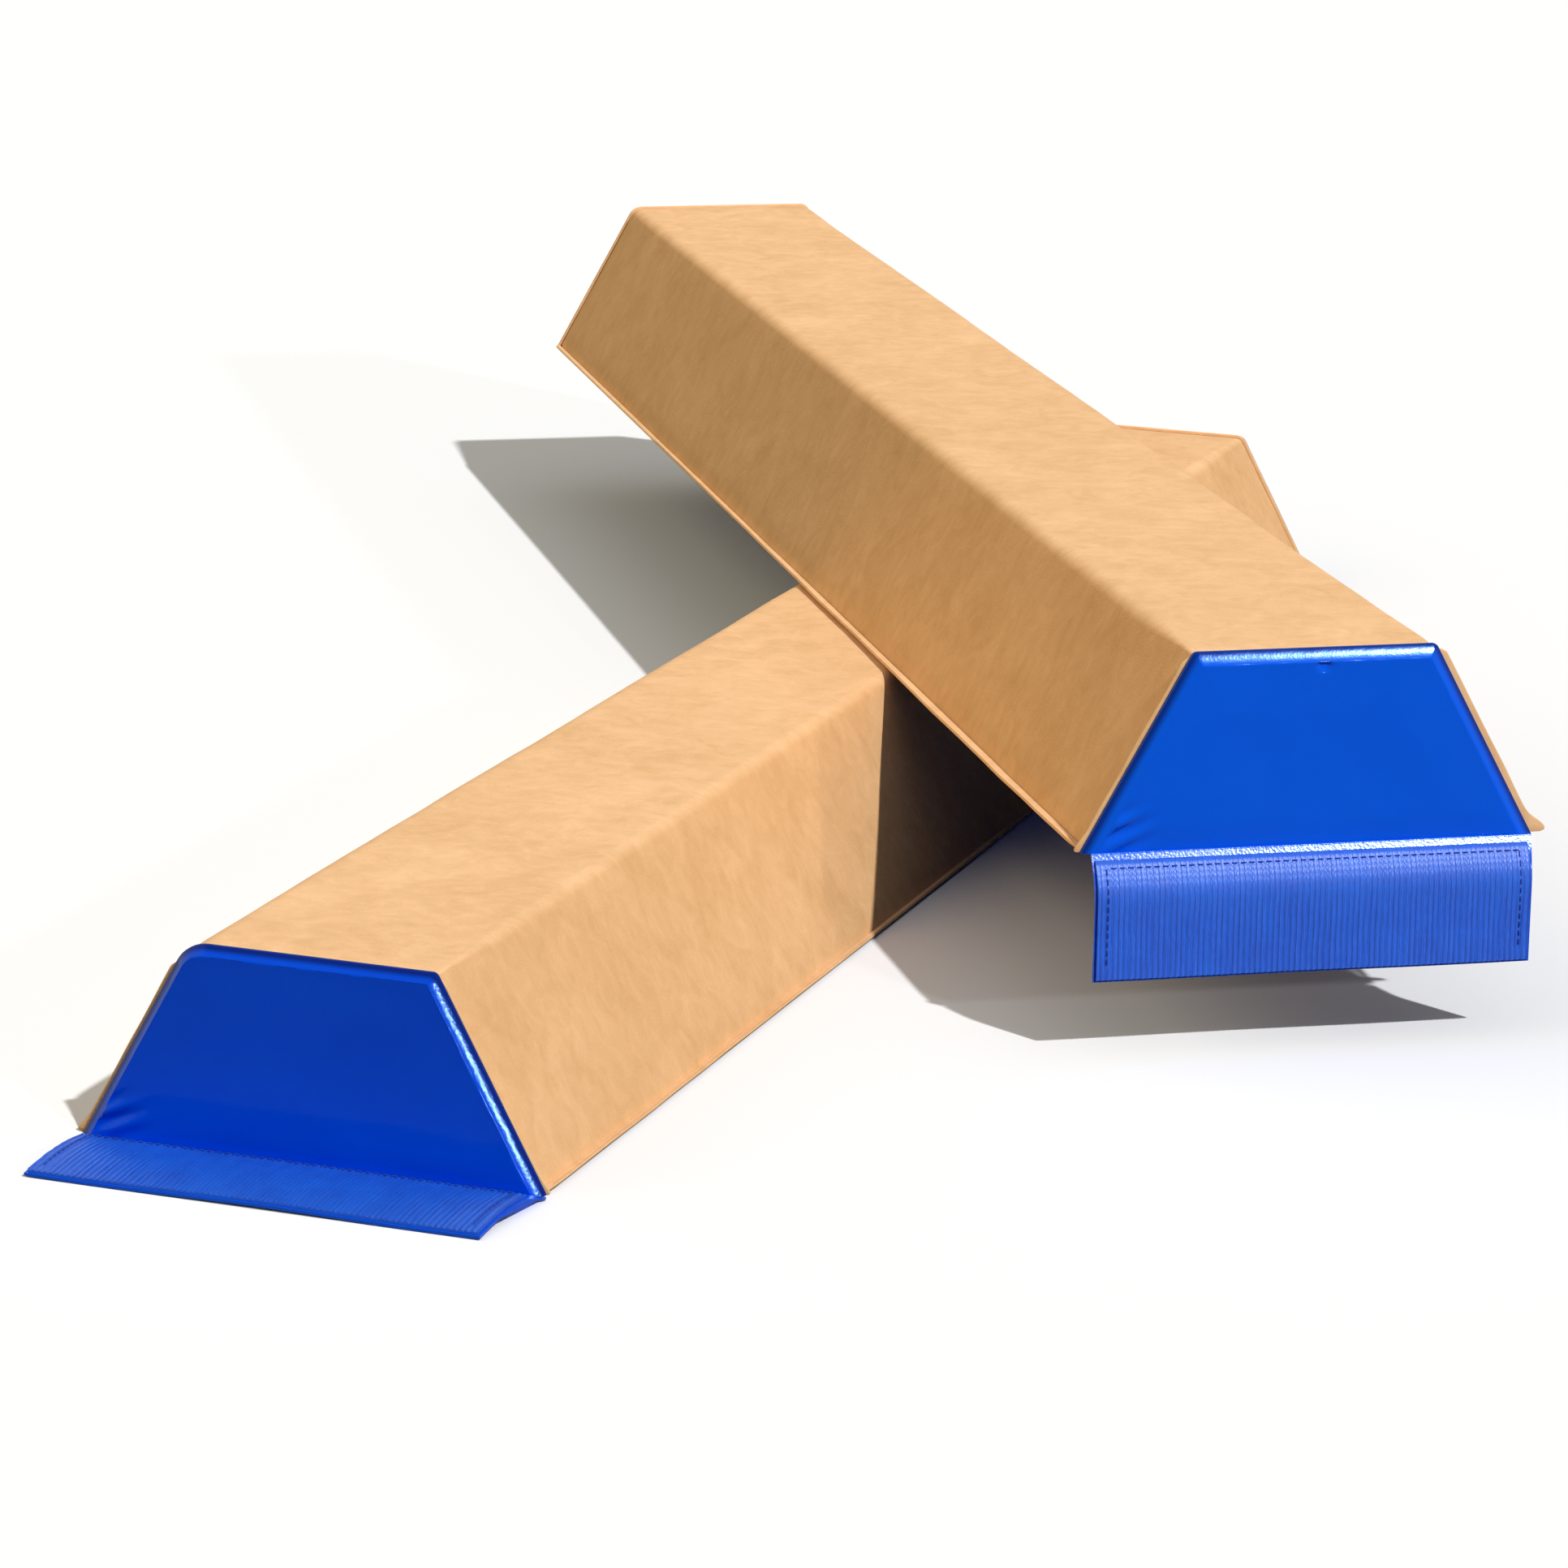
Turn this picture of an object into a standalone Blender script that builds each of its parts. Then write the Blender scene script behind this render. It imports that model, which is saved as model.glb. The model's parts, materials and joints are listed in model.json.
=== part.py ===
"""Floor balance beam: two foam sections with sloped sides, one lying across the other.

Metres, +Z up. The lower section lies along X on the floor, with the middle of its base at the origin and its
flap at the -X end. The upper section lies flat on it, turned about Z. A section is built in its own frame,
with the flap at -X, and hangs on an empty that puts it in place.
"""

from __future__ import annotations

import math
from collections.abc import Callable
from dataclasses import dataclass

import bmesh
import bpy
from mathutils import Matrix, Vector

# Driving dimensions of one section.
LENGTH = 1.110
TOP_WIDTH = 0.1016
BASE_WIDTH = 0.1905
HEIGHT = 0.0812
TOP_EDGE_RADIUS = 0.006
FLAP_LENGTH = 0.0508
FLAP_SIDE_MARGIN = 0.00325

# Where the upper section lies on the lower one.
UPPER_X = 0.2157
UPPER_Y = 0.0
UPPER_TURN_DEG = 33.1

# How the flaps are stored, in degrees above lying flat.
LOWER_FLAP_DEG = 0.0
UPPER_FLAP_DEG = -90.0

# Clearance between pieces that are sewn, glued or laid together.
GAP = 0.0003

# Cover: sheet thicknesses, end caps and the seam allowances that stand out of the seams.
SUEDE = 0.0018
VINYL = 0.0012
CAP_ROUND = 0.0035
CAP_DEPTH = 0.0050
LIP_THICK = 0.0016
FRONT_LIP_FOOT_OUT = 0.0036
FRONT_LIP_TOP_OUT = 0.0014
BACK_LIP_OUT = 0.0004
WELT_OUT = 0.0026
WELT_IN = 0.0022
WELT_THICK = 0.0015
BASE_MARGIN = 0.0037

# Foam planks.
LAYER_SPLIT = 0.041

# Hook tape on the flap and loop tape under the back end.
HOOK_START = 0.0045
HOOK_MARGIN = 0.001
HOOK_THICK = 0.0012
LOOP_LENGTH = 0.052
LOOP_THICK = 0.0009

# Zip in the base, near its left edge.
ZIP_MARGIN = 0.05025
ZIP_SLOT_HALF = 0.0055
ZIP_TAPE_HALF = 0.0150
ZIP_TAPE_THICK = 0.0006
ZIP_BACK_MARGIN = 0.066
CHAIN_HALF = 0.0023
CHAIN_THICK = 0.0019
CHAIN_EDGE = 0.0006
SLIDER_BACK_MARGIN = 0.073
SLIDER_LENGTH = 0.010
SLIDER_NOSE = 0.004
SLIDER_NOSE_HALF = 0.0030
SLIDER_HALF = 0.0042
SLIDER_THICK = 0.0008
PULL_LENGTH = 0.024
PULL_HALF = 0.0028

# Facets of a rounded edge, an end cap's rim and a flap's half-round root.
EDGE_STEPS = 6
RIM_STEPS = 4
ROOT_STEPS = 6

# Directions and places that follow from the dimensions above.
SIDE_RUN = (BASE_WIDTH - TOP_WIDTH) / 2
SIDE_SLANT = math.hypot(HEIGHT, SIDE_RUN)
SIDE_Y = HEIGHT / SIDE_SLANT
SIDE_Z = SIDE_RUN / SIDE_SLANT
SIDE_ANGLE = math.atan2(SIDE_Z, SIDE_Y)
END = LENGTH / 2
SHEET_END = END - CAP_DEPTH - GAP
COVER_END = SHEET_END - LIP_THICK - GAP
COVER_FOOT = 2 * GAP + WELT_THICK
FOAM_FOOT = VINYL + GAP
BASE_EDGE = BASE_WIDTH / 2 - BASE_MARGIN
LOOP_FRONT = SHEET_END - GAP - LOOP_LENGTH
LOOP_LIFT = LOOP_THICK + GAP
FLAP_HALF_WIDTH = BASE_WIDTH / 2 - FLAP_SIDE_MARGIN
ZIP_Y = BASE_WIDTH / 2 - ZIP_MARGIN

Point = tuple[float, float]
Ring = list[tuple[float, float, float]]


@dataclass(frozen=True)
class Finish:
    """Colour, roughness and metallic value of one material."""

    name: str
    colour: tuple[float, float, float]
    roughness: float
    metallic: float = 0.0

    def material(self) -> bpy.types.Material:
        """Returns the Blender material of this finish, made on first use."""
        found = bpy.data.materials.get(self.name)
        if found:
            return found
        made = bpy.data.materials.new(self.name)
        made.use_nodes = True
        shader = made.node_tree.nodes["Principled BSDF"]
        shader.inputs["Base Color"].default_value = (*self.colour, 1.0)
        shader.inputs["Roughness"].default_value = self.roughness
        shader.inputs["Metallic"].default_value = self.metallic
        return made


SUEDE_TAN = Finish("tan_suede", (0.72, 0.43, 0.20), 0.95)
VINYL_BLUE = Finish("blue_vinyl", (0.0, 0.07, 0.60), 0.25)
HOOK_BLUE = Finish("blue_hook_tape", (0.03, 0.10, 0.60), 0.55)
LOOP_BLUE = Finish("blue_loop_tape", (0.01, 0.06, 0.45), 0.95)
FOAM_WHITE = Finish("white_foam", (0.80, 0.80, 0.76), 0.90)
ZIP_BLUE = Finish("blue_zip_tape", (0.01, 0.04, 0.35), 0.85)
COIL_BLUE = Finish("blue_zip_coil", (0.01, 0.04, 0.35), 0.45)
METAL_BLUE = Finish("blue_enamel", (0.02, 0.05, 0.40), 0.30, 0.3)


def side_y(inset: float, z: float) -> float:
    """Returns how far the sloped side, moved inwards by inset, lies from the middle at height z."""
    return BASE_WIDTH / 2 - (inset + SIDE_Z * z) / SIDE_Y


def edge_angles() -> list[float]:
    """Returns the directions in which a rounded top edge faces, from the sloped side up to the top."""
    return [SIDE_ANGLE + (math.pi / 2 - SIDE_ANGLE) * step / EDGE_STEPS for step in range(EDGE_STEPS + 1)]


def mirrored(right: list[Point]) -> list[Point]:
    """Returns a line from the right foot to the top, carried on to the left foot."""
    return right + [(-y, z) for y, z in reversed(right)]


def outline(inset: float, foot: float) -> list[Point]:
    """Returns the section's (y, z) outline moved inwards by inset, from the right foot to the left foot."""
    radius = TOP_EDGE_RADIUS - inset
    middle_z = HEIGHT - TOP_EDGE_RADIUS
    middle_y = side_y(TOP_EDGE_RADIUS, middle_z)
    arc = [(middle_y + radius * math.cos(a), middle_z + radius * math.sin(a)) for a in edge_angles()]
    return mirrored([(side_y(inset, foot), foot), *arc])


def lip_outline(foot_out: float, top_out: float) -> list[Point]:
    """Returns the outer (y, z) line of a seam lip, which stands out of both sides and lies flush on top."""
    flat = outline(0.0, GAP)
    foot_y, foot_z = flat[0]
    right = [(foot_y + foot_out, foot_z)]
    for step, angle in enumerate(edge_angles()):
        y, z = flat[step + 1]
        out = top_out * (1 - step / EDGE_STEPS)
        right.append((y + out * math.cos(angle), z + out * math.sin(angle)))
    return mirrored(right)


def base_layer_loop(inset: float, foot: float) -> list[Point]:
    """Returns the (y, z) outline of the lower foam plank, with the zip's groove in its underside."""
    tape_z = FOAM_FOOT + ZIP_TAPE_THICK + GAP
    chain_z = FOAM_FOOT + CHAIN_THICK + GAP
    steps = [(-ZIP_TAPE_HALF - GAP, foot, tape_z), (-CHAIN_HALF - GAP, tape_z, chain_z)]
    left = [(ZIP_Y + y, z) for y, low, high in steps for z in (low, high)]
    right = [(2 * ZIP_Y - y, z) for y, z in reversed(left)]
    wide = side_y(inset, foot)
    split = side_y(inset, LAYER_SPLIT)
    return [(-wide, foot), *left, *right, (wide, foot), (split, LAYER_SPLIT), (-split, LAYER_SPLIT)]


def top_layer_loop(inset: float, _foot: float) -> list[Point]:
    """Returns the (y, z) outline of the upper foam plank, whose foot is the glue line."""
    return outline(inset, LAYER_SPLIT + GAP)


def foam_rings(loop: Callable[[float, float], list[Point]]) -> list[Ring]:
    """Returns the rings of a foam plank, which is a little smaller inside each end cap."""
    small = loop(CAP_ROUND + GAP, FOAM_FOOT + GAP)
    full = loop(SUEDE + GAP, FOAM_FOOT)
    half = [(END - VINYL - GAP, small), (SHEET_END, small), (SHEET_END - GAP, full)]
    places = [(-x, ring) for x, ring in half] + half[::-1]
    return [[(x, y, z) for y, z in ring] for x, ring in places]


def cap_rings(sign: int) -> list[Ring]:
    """Returns the rings of an end cap, a shallow pan of vinyl with a rounded rim, at the end on this side."""
    places = []
    for step in range(RIM_STEPS + 1):
        angle = math.pi / 2 * step / RIM_STEPS
        places.append((END - CAP_ROUND * (1 - math.cos(angle)), CAP_ROUND * (1 - math.sin(angle)), GAP))
    places.append((END - CAP_DEPTH, 0.0, GAP))
    places.append((END - CAP_DEPTH, VINYL, GAP + VINYL))
    places.append((END - VINYL, CAP_ROUND, GAP + VINYL))
    return [[(sign * x, y, z) for y, z in outline(inset, foot)] for x, inset, foot in places]


def tongue(length: float, half: float) -> list[Point]:
    """Returns the (x, z) outline of a flat tongue that runs to -X from a half-round root at the origin."""
    angles = [math.pi * (step / ROOT_STEPS - 0.5) for step in range(ROOT_STEPS + 1)]
    root = [(half * math.cos(a), half * math.sin(a)) for a in angles]
    return [(-length, -half), *root, (-length, half)]


def rectangle(low: Point, high: Point) -> list[Point]:
    """Returns the outline of the rectangle between two opposite corners."""
    return [low, (high[0], low[1]), high, (low[0], high[1])]


def lofted(rings: list[Ring]) -> bmesh.types.BMesh:
    """Returns a closed solid through rings of equal length, with a flat face on the first and the last."""
    solid = bmesh.new()
    loops = [[solid.verts.new(point) for point in ring] for ring in rings]
    solid.faces.new(loops[0])
    solid.faces.new(loops[-1])
    for low, high in zip(loops, loops[1:]):
        for index, corner in enumerate(low):
            after = (index + 1) % len(low)
            solid.faces.new((corner, low[after], high[after], high[index]))
    return solid


def swept(ring: Ring, along: Vector) -> bmesh.types.BMesh:
    """Returns the closed solid that a flat ring makes when it is extruded along a vector."""
    solid = bmesh.new()
    face = solid.faces.new([solid.verts.new(point) for point in ring])
    made = bmesh.ops.extrude_face_region(solid, geom=[face])["geom"]
    far = [item for item in made if isinstance(item, bmesh.types.BMVert)]
    bmesh.ops.translate(solid, verts=far, vec=along)
    return solid


@dataclass(frozen=True)
class Section:
    """One foam section in its cover.

    Attributes:
        prefix: the start of its objects' names.
        root: the empty that its pieces hang on.
        flap_deg: the flap's angle above lying flat.
    """

    prefix: str
    root: bpy.types.Object
    flap_deg: float

    def add(
        self, name: str, solid: bmesh.types.BMesh, finish: Finish, parent: bpy.types.Object | None = None
    ) -> bpy.types.Object:
        """Makes a named object of a solid.

        Args:
            name: the object's name after the section's prefix.
            solid: the shape, in its parent's frame. It is used up.
            finish: the object's material.
            parent: the empty or object that it hangs on, if not the section's own empty.

        Returns:
            The new object.
        """
        bmesh.ops.recalc_face_normals(solid, faces=solid.faces)
        mesh = bpy.data.meshes.new(self.prefix + name)
        solid.to_mesh(mesh)
        solid.free()
        mesh.shade_smooth()
        mesh.set_sharp_from_angle(angle=math.radians(35))
        mesh.materials.append(finish.material())
        obj = bpy.data.objects.new(self.prefix + name, mesh)
        obj.parent = parent or self.root
        bpy.context.scene.collection.objects.link(obj)
        return obj

    def pivot(self, name: str, place: tuple[float, float, float], turn_deg: float) -> bpy.types.Object:
        """Returns a new empty on a joint's axis, turned about Y."""
        empty = bpy.data.objects.new(self.prefix + name, None)
        empty.parent = self.root
        empty.location = place
        empty.rotation_euler = (0.0, math.radians(turn_deg), 0.0)
        bpy.context.scene.collection.objects.link(empty)
        return empty

    def along_x(
        self, name: str, loop: list[Point], low: float, high: float, finish: Finish
    ) -> bpy.types.Object:
        """Adds a solid with this (y, z) outline between two places along X."""
        return self.add(name, swept([(low, y, z) for y, z in loop], Vector((high - low, 0.0, 0.0))), finish)

    def along_y(
        self,
        name: str,
        loop: list[Point],
        low: float,
        high: float,
        finish: Finish,
        parent: bpy.types.Object | None = None,
    ) -> bpy.types.Object:
        """Adds a solid with this (x, z) outline between two places along Y."""
        solid = swept([(x, low, z) for x, z in loop], Vector((0.0, high - low, 0.0)))
        return self.add(name, solid, finish, parent)

    def build(self) -> None:
        """Adds every piece of the section."""
        self.build_foam()
        self.build_cover()
        self.build_base()
        self.build_zip()
        self.build_flap()

    def build_foam(self) -> None:
        """Adds the two glued foam planks, the lower one cut away over the loop tape."""
        base = self.add("foam_base_layer", lofted(foam_rings(base_layer_loop)), FOAM_WHITE)
        front = LOOP_FRONT - VINYL - GAP
        cut_loop = rectangle((-BASE_WIDTH, -HEIGHT), (BASE_WIDTH, LOOP_LIFT + VINYL + GAP))
        cutter = self.along_x("loop_tape_cutter", cut_loop, front, LENGTH, FOAM_WHITE)
        cutter.hide_render = True
        cutter.display_type = "WIRE"
        cut = base.modifiers.new("loop_tape_pocket", "BOOLEAN")
        cut.operation = "DIFFERENCE"
        cut.solver = "EXACT"
        cut.object = cutter
        self.add("foam_top_layer", lofted(foam_rings(top_layer_loop)), FOAM_WHITE)

    def build_cover(self) -> None:
        """Adds the suede over top and sides, the vinyl end caps and the seam allowances between them."""
        sheet = outline(0.0, COVER_FOOT) + outline(SUEDE, COVER_FOOT)[::-1]
        self.along_x("suede_cover", sheet, -COVER_END, COVER_END, SUEDE_TAN)
        front_lip = lip_outline(FRONT_LIP_FOOT_OUT, FRONT_LIP_TOP_OUT)
        back_lip = lip_outline(BACK_LIP_OUT, BACK_LIP_OUT)
        for name, sign, outer in (("front", -1, front_lip), ("back", 1, back_lip)):
            self.add(name + "_end_cap", lofted(cap_rings(sign)), VINYL_BLUE)
            lip = outer + outline(SUEDE, GAP)[::-1]
            self.along_x(name + "_seam_lip", lip, sign * SHEET_END, sign * (SHEET_END - LIP_THICK), SUEDE_TAN)
        welt = rectangle((BASE_WIDTH / 2 - WELT_IN, GAP), (BASE_WIDTH / 2 + WELT_OUT, GAP + WELT_THICK))
        for name, sign in (("left", 1), ("right", -1)):
            loop = [(sign * y, z) for y, z in welt]
            self.along_x(name + "_base_welt", loop, -COVER_END, COVER_END, SUEDE_TAN)

    def build_base(self) -> None:
        """Adds the vinyl underside on both sides of the zip and the loop tape let into it at the back."""
        step = LOOP_FRONT - VINYL
        under = [(-SHEET_END, 0.0), (LOOP_FRONT, 0.0), (LOOP_FRONT, LOOP_LIFT), (SHEET_END, LOOP_LIFT)]
        over = [(SHEET_END, LOOP_LIFT + VINYL), (step, LOOP_LIFT + VINYL), (step, VINYL), (-SHEET_END, VINYL)]
        self.along_y("base_panel", under + over, -BASE_EDGE, ZIP_Y - ZIP_SLOT_HALF, VINYL_BLUE)
        self.along_y("base_strip", under + over, ZIP_Y + ZIP_SLOT_HALF, BASE_EDGE, VINYL_BLUE)
        tape = rectangle((LOOP_FRONT + GAP, 0.0), (SHEET_END, LOOP_THICK))
        self.along_y("loop_tape", tape, -BASE_EDGE, BASE_EDGE, LOOP_BLUE)

    def build_zip(self) -> None:
        """Adds the zip tapes, the closed chain, the slider at its closed end and the pull."""
        back = END - ZIP_BACK_MARGIN
        for name, sign in (("inner", -1), ("outer", 1)):
            near = ZIP_Y + sign * (CHAIN_HALF + GAP)
            far = ZIP_Y + sign * ZIP_TAPE_HALF
            tape = rectangle((near, FOAM_FOOT), (far, FOAM_FOOT + ZIP_TAPE_THICK))
            self.along_x("zip_tape_" + name, tape, -SHEET_END, back, ZIP_BLUE)
        top = FOAM_FOOT + CHAIN_THICK
        edge = FOAM_FOOT + CHAIN_EDGE
        right = [(CHAIN_HALF - CHAIN_EDGE, FOAM_FOOT), (CHAIN_HALF, edge), (CHAIN_HALF, top)]
        chain = [(ZIP_Y + y, z) for y, z in mirrored(right)]
        self.along_x("zip_chain", chain, -SHEET_END, back, COIL_BLUE)
        half = SLIDER_THICK / 2
        plan = [(0.0, SLIDER_NOSE_HALF), (-SLIDER_NOSE, SLIDER_HALF), (-SLIDER_LENGTH, SLIDER_HALF)]
        plan += [(x, -y) for x, y in reversed(plan)]
        plate = swept([(x, y, -half) for x, y in plan], Vector((0.0, 0.0, SLIDER_THICK)))
        slider = self.add("zip_slider", plate, METAL_BLUE)
        slider.location = (END - SLIDER_BACK_MARGIN, ZIP_Y, GAP + half)
        pull = self.along_y("zip_pull", tongue(PULL_LENGTH, half), -PULL_HALF, PULL_HALF, METAL_BLUE, slider)
        pull.location = (-SLIDER_LENGTH - GAP - half, 0.0, 0.0)

    def build_flap(self) -> None:
        """Adds the vinyl flap at the lower front edge and the hook tape on it."""
        half = VINYL / 2
        hinge = self.pivot("flap_pivot", (-END - GAP - half, 0.0, GAP + half), self.flap_deg)
        self.along_y("flap", tongue(FLAP_LENGTH, half), -FLAP_HALF_WIDTH, FLAP_HALF_WIDTH, VINYL_BLUE, hinge)
        low = half + GAP
        tape = rectangle((-FLAP_LENGTH + HOOK_MARGIN, low), (-HOOK_START, low + HOOK_THICK))
        reach = FLAP_HALF_WIDTH - HOOK_MARGIN
        self.along_y("flap_hook_tape", tape, -reach, reach, HOOK_BLUE, hinge)


def section_root(name: str, place: Matrix) -> bpy.types.Object:
    """Returns a new empty that a section hangs on."""
    empty = bpy.data.objects.new(name, None)
    empty.matrix_world = place
    bpy.context.scene.collection.objects.link(empty)
    return empty


def main() -> None:
    """Clears the scene and builds both sections in metres."""
    for obj in list(bpy.data.objects):
        bpy.data.objects.remove(obj)
    units = bpy.context.scene.unit_settings
    units.system = "METRIC"
    units.scale_length = 1.0
    Section("lower_", section_root("lower_section", Matrix()), LOWER_FLAP_DEG).build()
    turn = Matrix.Rotation(math.radians(UPPER_TURN_DEG), 4, "Z")
    place = Matrix.Translation((UPPER_X, UPPER_Y, HEIGHT + GAP)) @ turn
    Section("upper_", section_root("upper_section", place), UPPER_FLAP_DEG).build()


if __name__ == "__main__":
    main()
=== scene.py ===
"""Looks of the floor balance beam: two suede-covered foam sections with blue vinyl ends, laid crosswise.

Every piece is built in its section's own frame, with +X from the flap end to the other end, +Y left, +Z up
and the origin in the middle of the base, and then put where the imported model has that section. All lengths
are in metres.
"""

from __future__ import annotations

import json
import logging
import math
from collections.abc import Iterable
from dataclasses import dataclass
from enum import Enum

import bmesh
import bpy
from mathutils import Matrix, Vector, noise

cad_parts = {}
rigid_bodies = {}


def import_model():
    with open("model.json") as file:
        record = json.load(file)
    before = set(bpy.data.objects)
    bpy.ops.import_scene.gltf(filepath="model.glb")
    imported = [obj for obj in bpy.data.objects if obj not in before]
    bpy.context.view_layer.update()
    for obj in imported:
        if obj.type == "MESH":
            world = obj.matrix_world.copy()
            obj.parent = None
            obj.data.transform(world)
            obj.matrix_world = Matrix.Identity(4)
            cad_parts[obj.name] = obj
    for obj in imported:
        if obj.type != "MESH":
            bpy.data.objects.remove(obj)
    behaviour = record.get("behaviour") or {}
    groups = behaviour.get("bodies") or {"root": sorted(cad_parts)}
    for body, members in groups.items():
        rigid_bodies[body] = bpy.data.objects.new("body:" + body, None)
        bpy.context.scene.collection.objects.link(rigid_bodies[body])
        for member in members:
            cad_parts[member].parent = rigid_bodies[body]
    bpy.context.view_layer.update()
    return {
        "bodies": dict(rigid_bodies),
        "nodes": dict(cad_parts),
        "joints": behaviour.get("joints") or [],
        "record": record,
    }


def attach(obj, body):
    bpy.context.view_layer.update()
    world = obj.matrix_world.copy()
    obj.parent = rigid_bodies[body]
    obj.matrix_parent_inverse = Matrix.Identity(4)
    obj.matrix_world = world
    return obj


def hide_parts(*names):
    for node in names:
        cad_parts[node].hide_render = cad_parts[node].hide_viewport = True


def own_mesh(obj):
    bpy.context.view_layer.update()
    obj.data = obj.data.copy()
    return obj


LOG = logging.getLogger("floor_beam")

Colour = tuple[float, float, float]
Place = tuple[float, float, float]
Span = tuple[float, float]
Loop = list[Vector]
Socket = bpy.types.NodeSocket
NodeGroup = bpy.types.NodeTree
Material = bpy.types.Material
Piece = bpy.types.Object
Shape = bmesh.types.BMesh

UP = Vector((0.0, 0.0, 1.0))


class End(Enum):
    """The two ends of a section, by the sign of their X."""

    FRONT = -1
    BACK = 1


class Hand(Enum):
    """The two long sides of a section, by the sign of their Y."""

    LEFT = 1
    RIGHT = -1


class Held(Enum):
    """How a flap is held: lying out on the floor or hanging down."""

    LAID = "laid"
    HUNG = "hung"


class SocketKind(Enum):
    """Kinds of socket on a node group."""

    VALUE = "NodeSocketFloat"
    COLOUR = "NodeSocketColor"
    VECTOR = "NodeSocketVector"


@dataclass(frozen=True)
class BeamSize:
    """Sizes of one section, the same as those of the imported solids."""

    length: float = 1.110
    top_width: float = 0.1016
    base_width: float = 0.1905
    height: float = 0.0812
    gap: float = 0.0003
    suede: float = 0.0018
    vinyl: float = 0.0012
    cap_round: float = 0.0035
    cap_depth: float = 0.0050
    lip_thick: float = 0.0016
    welt_thick: float = 0.0015
    welt_in: float = 0.0022
    layer_split: float = 0.041
    flap_length: float = 0.0508
    flap_side_margin: float = 0.00325
    hook_margin: float = 0.001
    hook_thick: float = 0.0012
    zip_margin: float = 0.05025
    zip_slot_half: float = 0.0055
    zip_back_margin: float = 0.066
    chain_half: float = 0.0023
    chain_thick: float = 0.0019

    @property
    def end(self) -> float:
        """X of the section's outer end."""
        return self.length / 2

    @property
    def sheet_end(self) -> float:
        """X where an end cap's rim stops and the seam lip starts."""
        return self.end - self.cap_depth - self.gap

    @property
    def cover_end(self) -> float:
        """X where the suede cover stops."""
        return self.sheet_end - self.lip_thick - self.gap

    @property
    def cover_foot(self) -> float:
        """Height of the suede's lower edge, just over the base welt."""
        return 2 * self.gap + self.welt_thick

    @property
    def flap_half_width(self) -> float:
        """Half the width of the flap."""
        return self.base_width / 2 - self.flap_side_margin

    @property
    def zip_y(self) -> float:
        """Y of the zip's middle line."""
        return self.base_width / 2 - self.zip_margin

    @property
    def side_normal(self) -> Span:
        """Outward (y, z) direction of the left side."""
        run = (self.base_width - self.top_width) / 2
        slant = math.hypot(self.height, run)
        return self.height / slant, run / slant

    @property
    def slant(self) -> float:
        """Length of a sloped side."""
        return self.height / self.side_normal[0]

    def side_y(self, inset: float, z: float) -> float:
        """Returns how far the sloped side, moved inwards by inset, lies from the middle at height z."""
        normal_y, normal_z = self.side_normal
        return self.base_width / 2 - (inset + normal_z * z) / normal_y


SIZE = BeamSize()


def smooth_step(low: float, high: float, value: float) -> float:
    """Returns a smooth ramp from 0 at low to 1 at high, which may be the smaller of the two."""
    share = min(max((value - low) / (high - low), 0.0), 1.0)
    return share * share * (3 - 2 * share)


@dataclass(frozen=True)
class Wave:
    """Smooth noise over a surface: its height, its waves to a metre and what it adds to a section's seed."""

    height: float
    scale: float
    shift: int = 0

    def at(self, seed: float, *place: float) -> float:
        """Works out the noise at a place.

        Args:
            seed: the section's seed.
            place: one to three values.

        Returns:
            A value from minus to plus the wave's height.
        """
        x, y, z = (self.scale * value for value in (*place, 0.0, 0.0)[:3])
        start = seed + self.shift
        return self.height * noise.noise(Vector((x + start, y, z + 2 * start)))

    def raised(self, seed: float, *place: float) -> float:
        """Returns the noise at such a place, from 0 to twice the wave's height."""
        return self.height + self.at(seed, *place)


@dataclass(frozen=True)
class RimPoint:
    """A point on a section's outline, its outward normal and its distance along the outline from the foot."""

    y: float
    z: float
    normal_y: float
    normal_z: float
    from_foot: float

    @property
    def hand(self) -> Hand:
        """The side that the point is on."""
        return Hand.LEFT if self.y > 0 else Hand.RIGHT

    def moved(self, out: float) -> Span:
        """Returns (y, z) of the point moved outwards along its normal."""
        return self.y + self.normal_y * out, self.z + self.normal_z * out


@dataclass(frozen=True)
class Corners:
    """Radii of a section's two long top edges."""

    left: float
    right: float

    def on(self, hand: Hand) -> float:
        """Returns the radius on one side."""
        return self.left if hand is Hand.LEFT else self.right

    def towards(self, other: Corners, share: float) -> Corners:
        """Returns radii part of the way to other ones."""
        left, right = (self.on(hand) + (other.on(hand) - self.on(hand)) * share for hand in Hand)
        return Corners(left, right)


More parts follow.
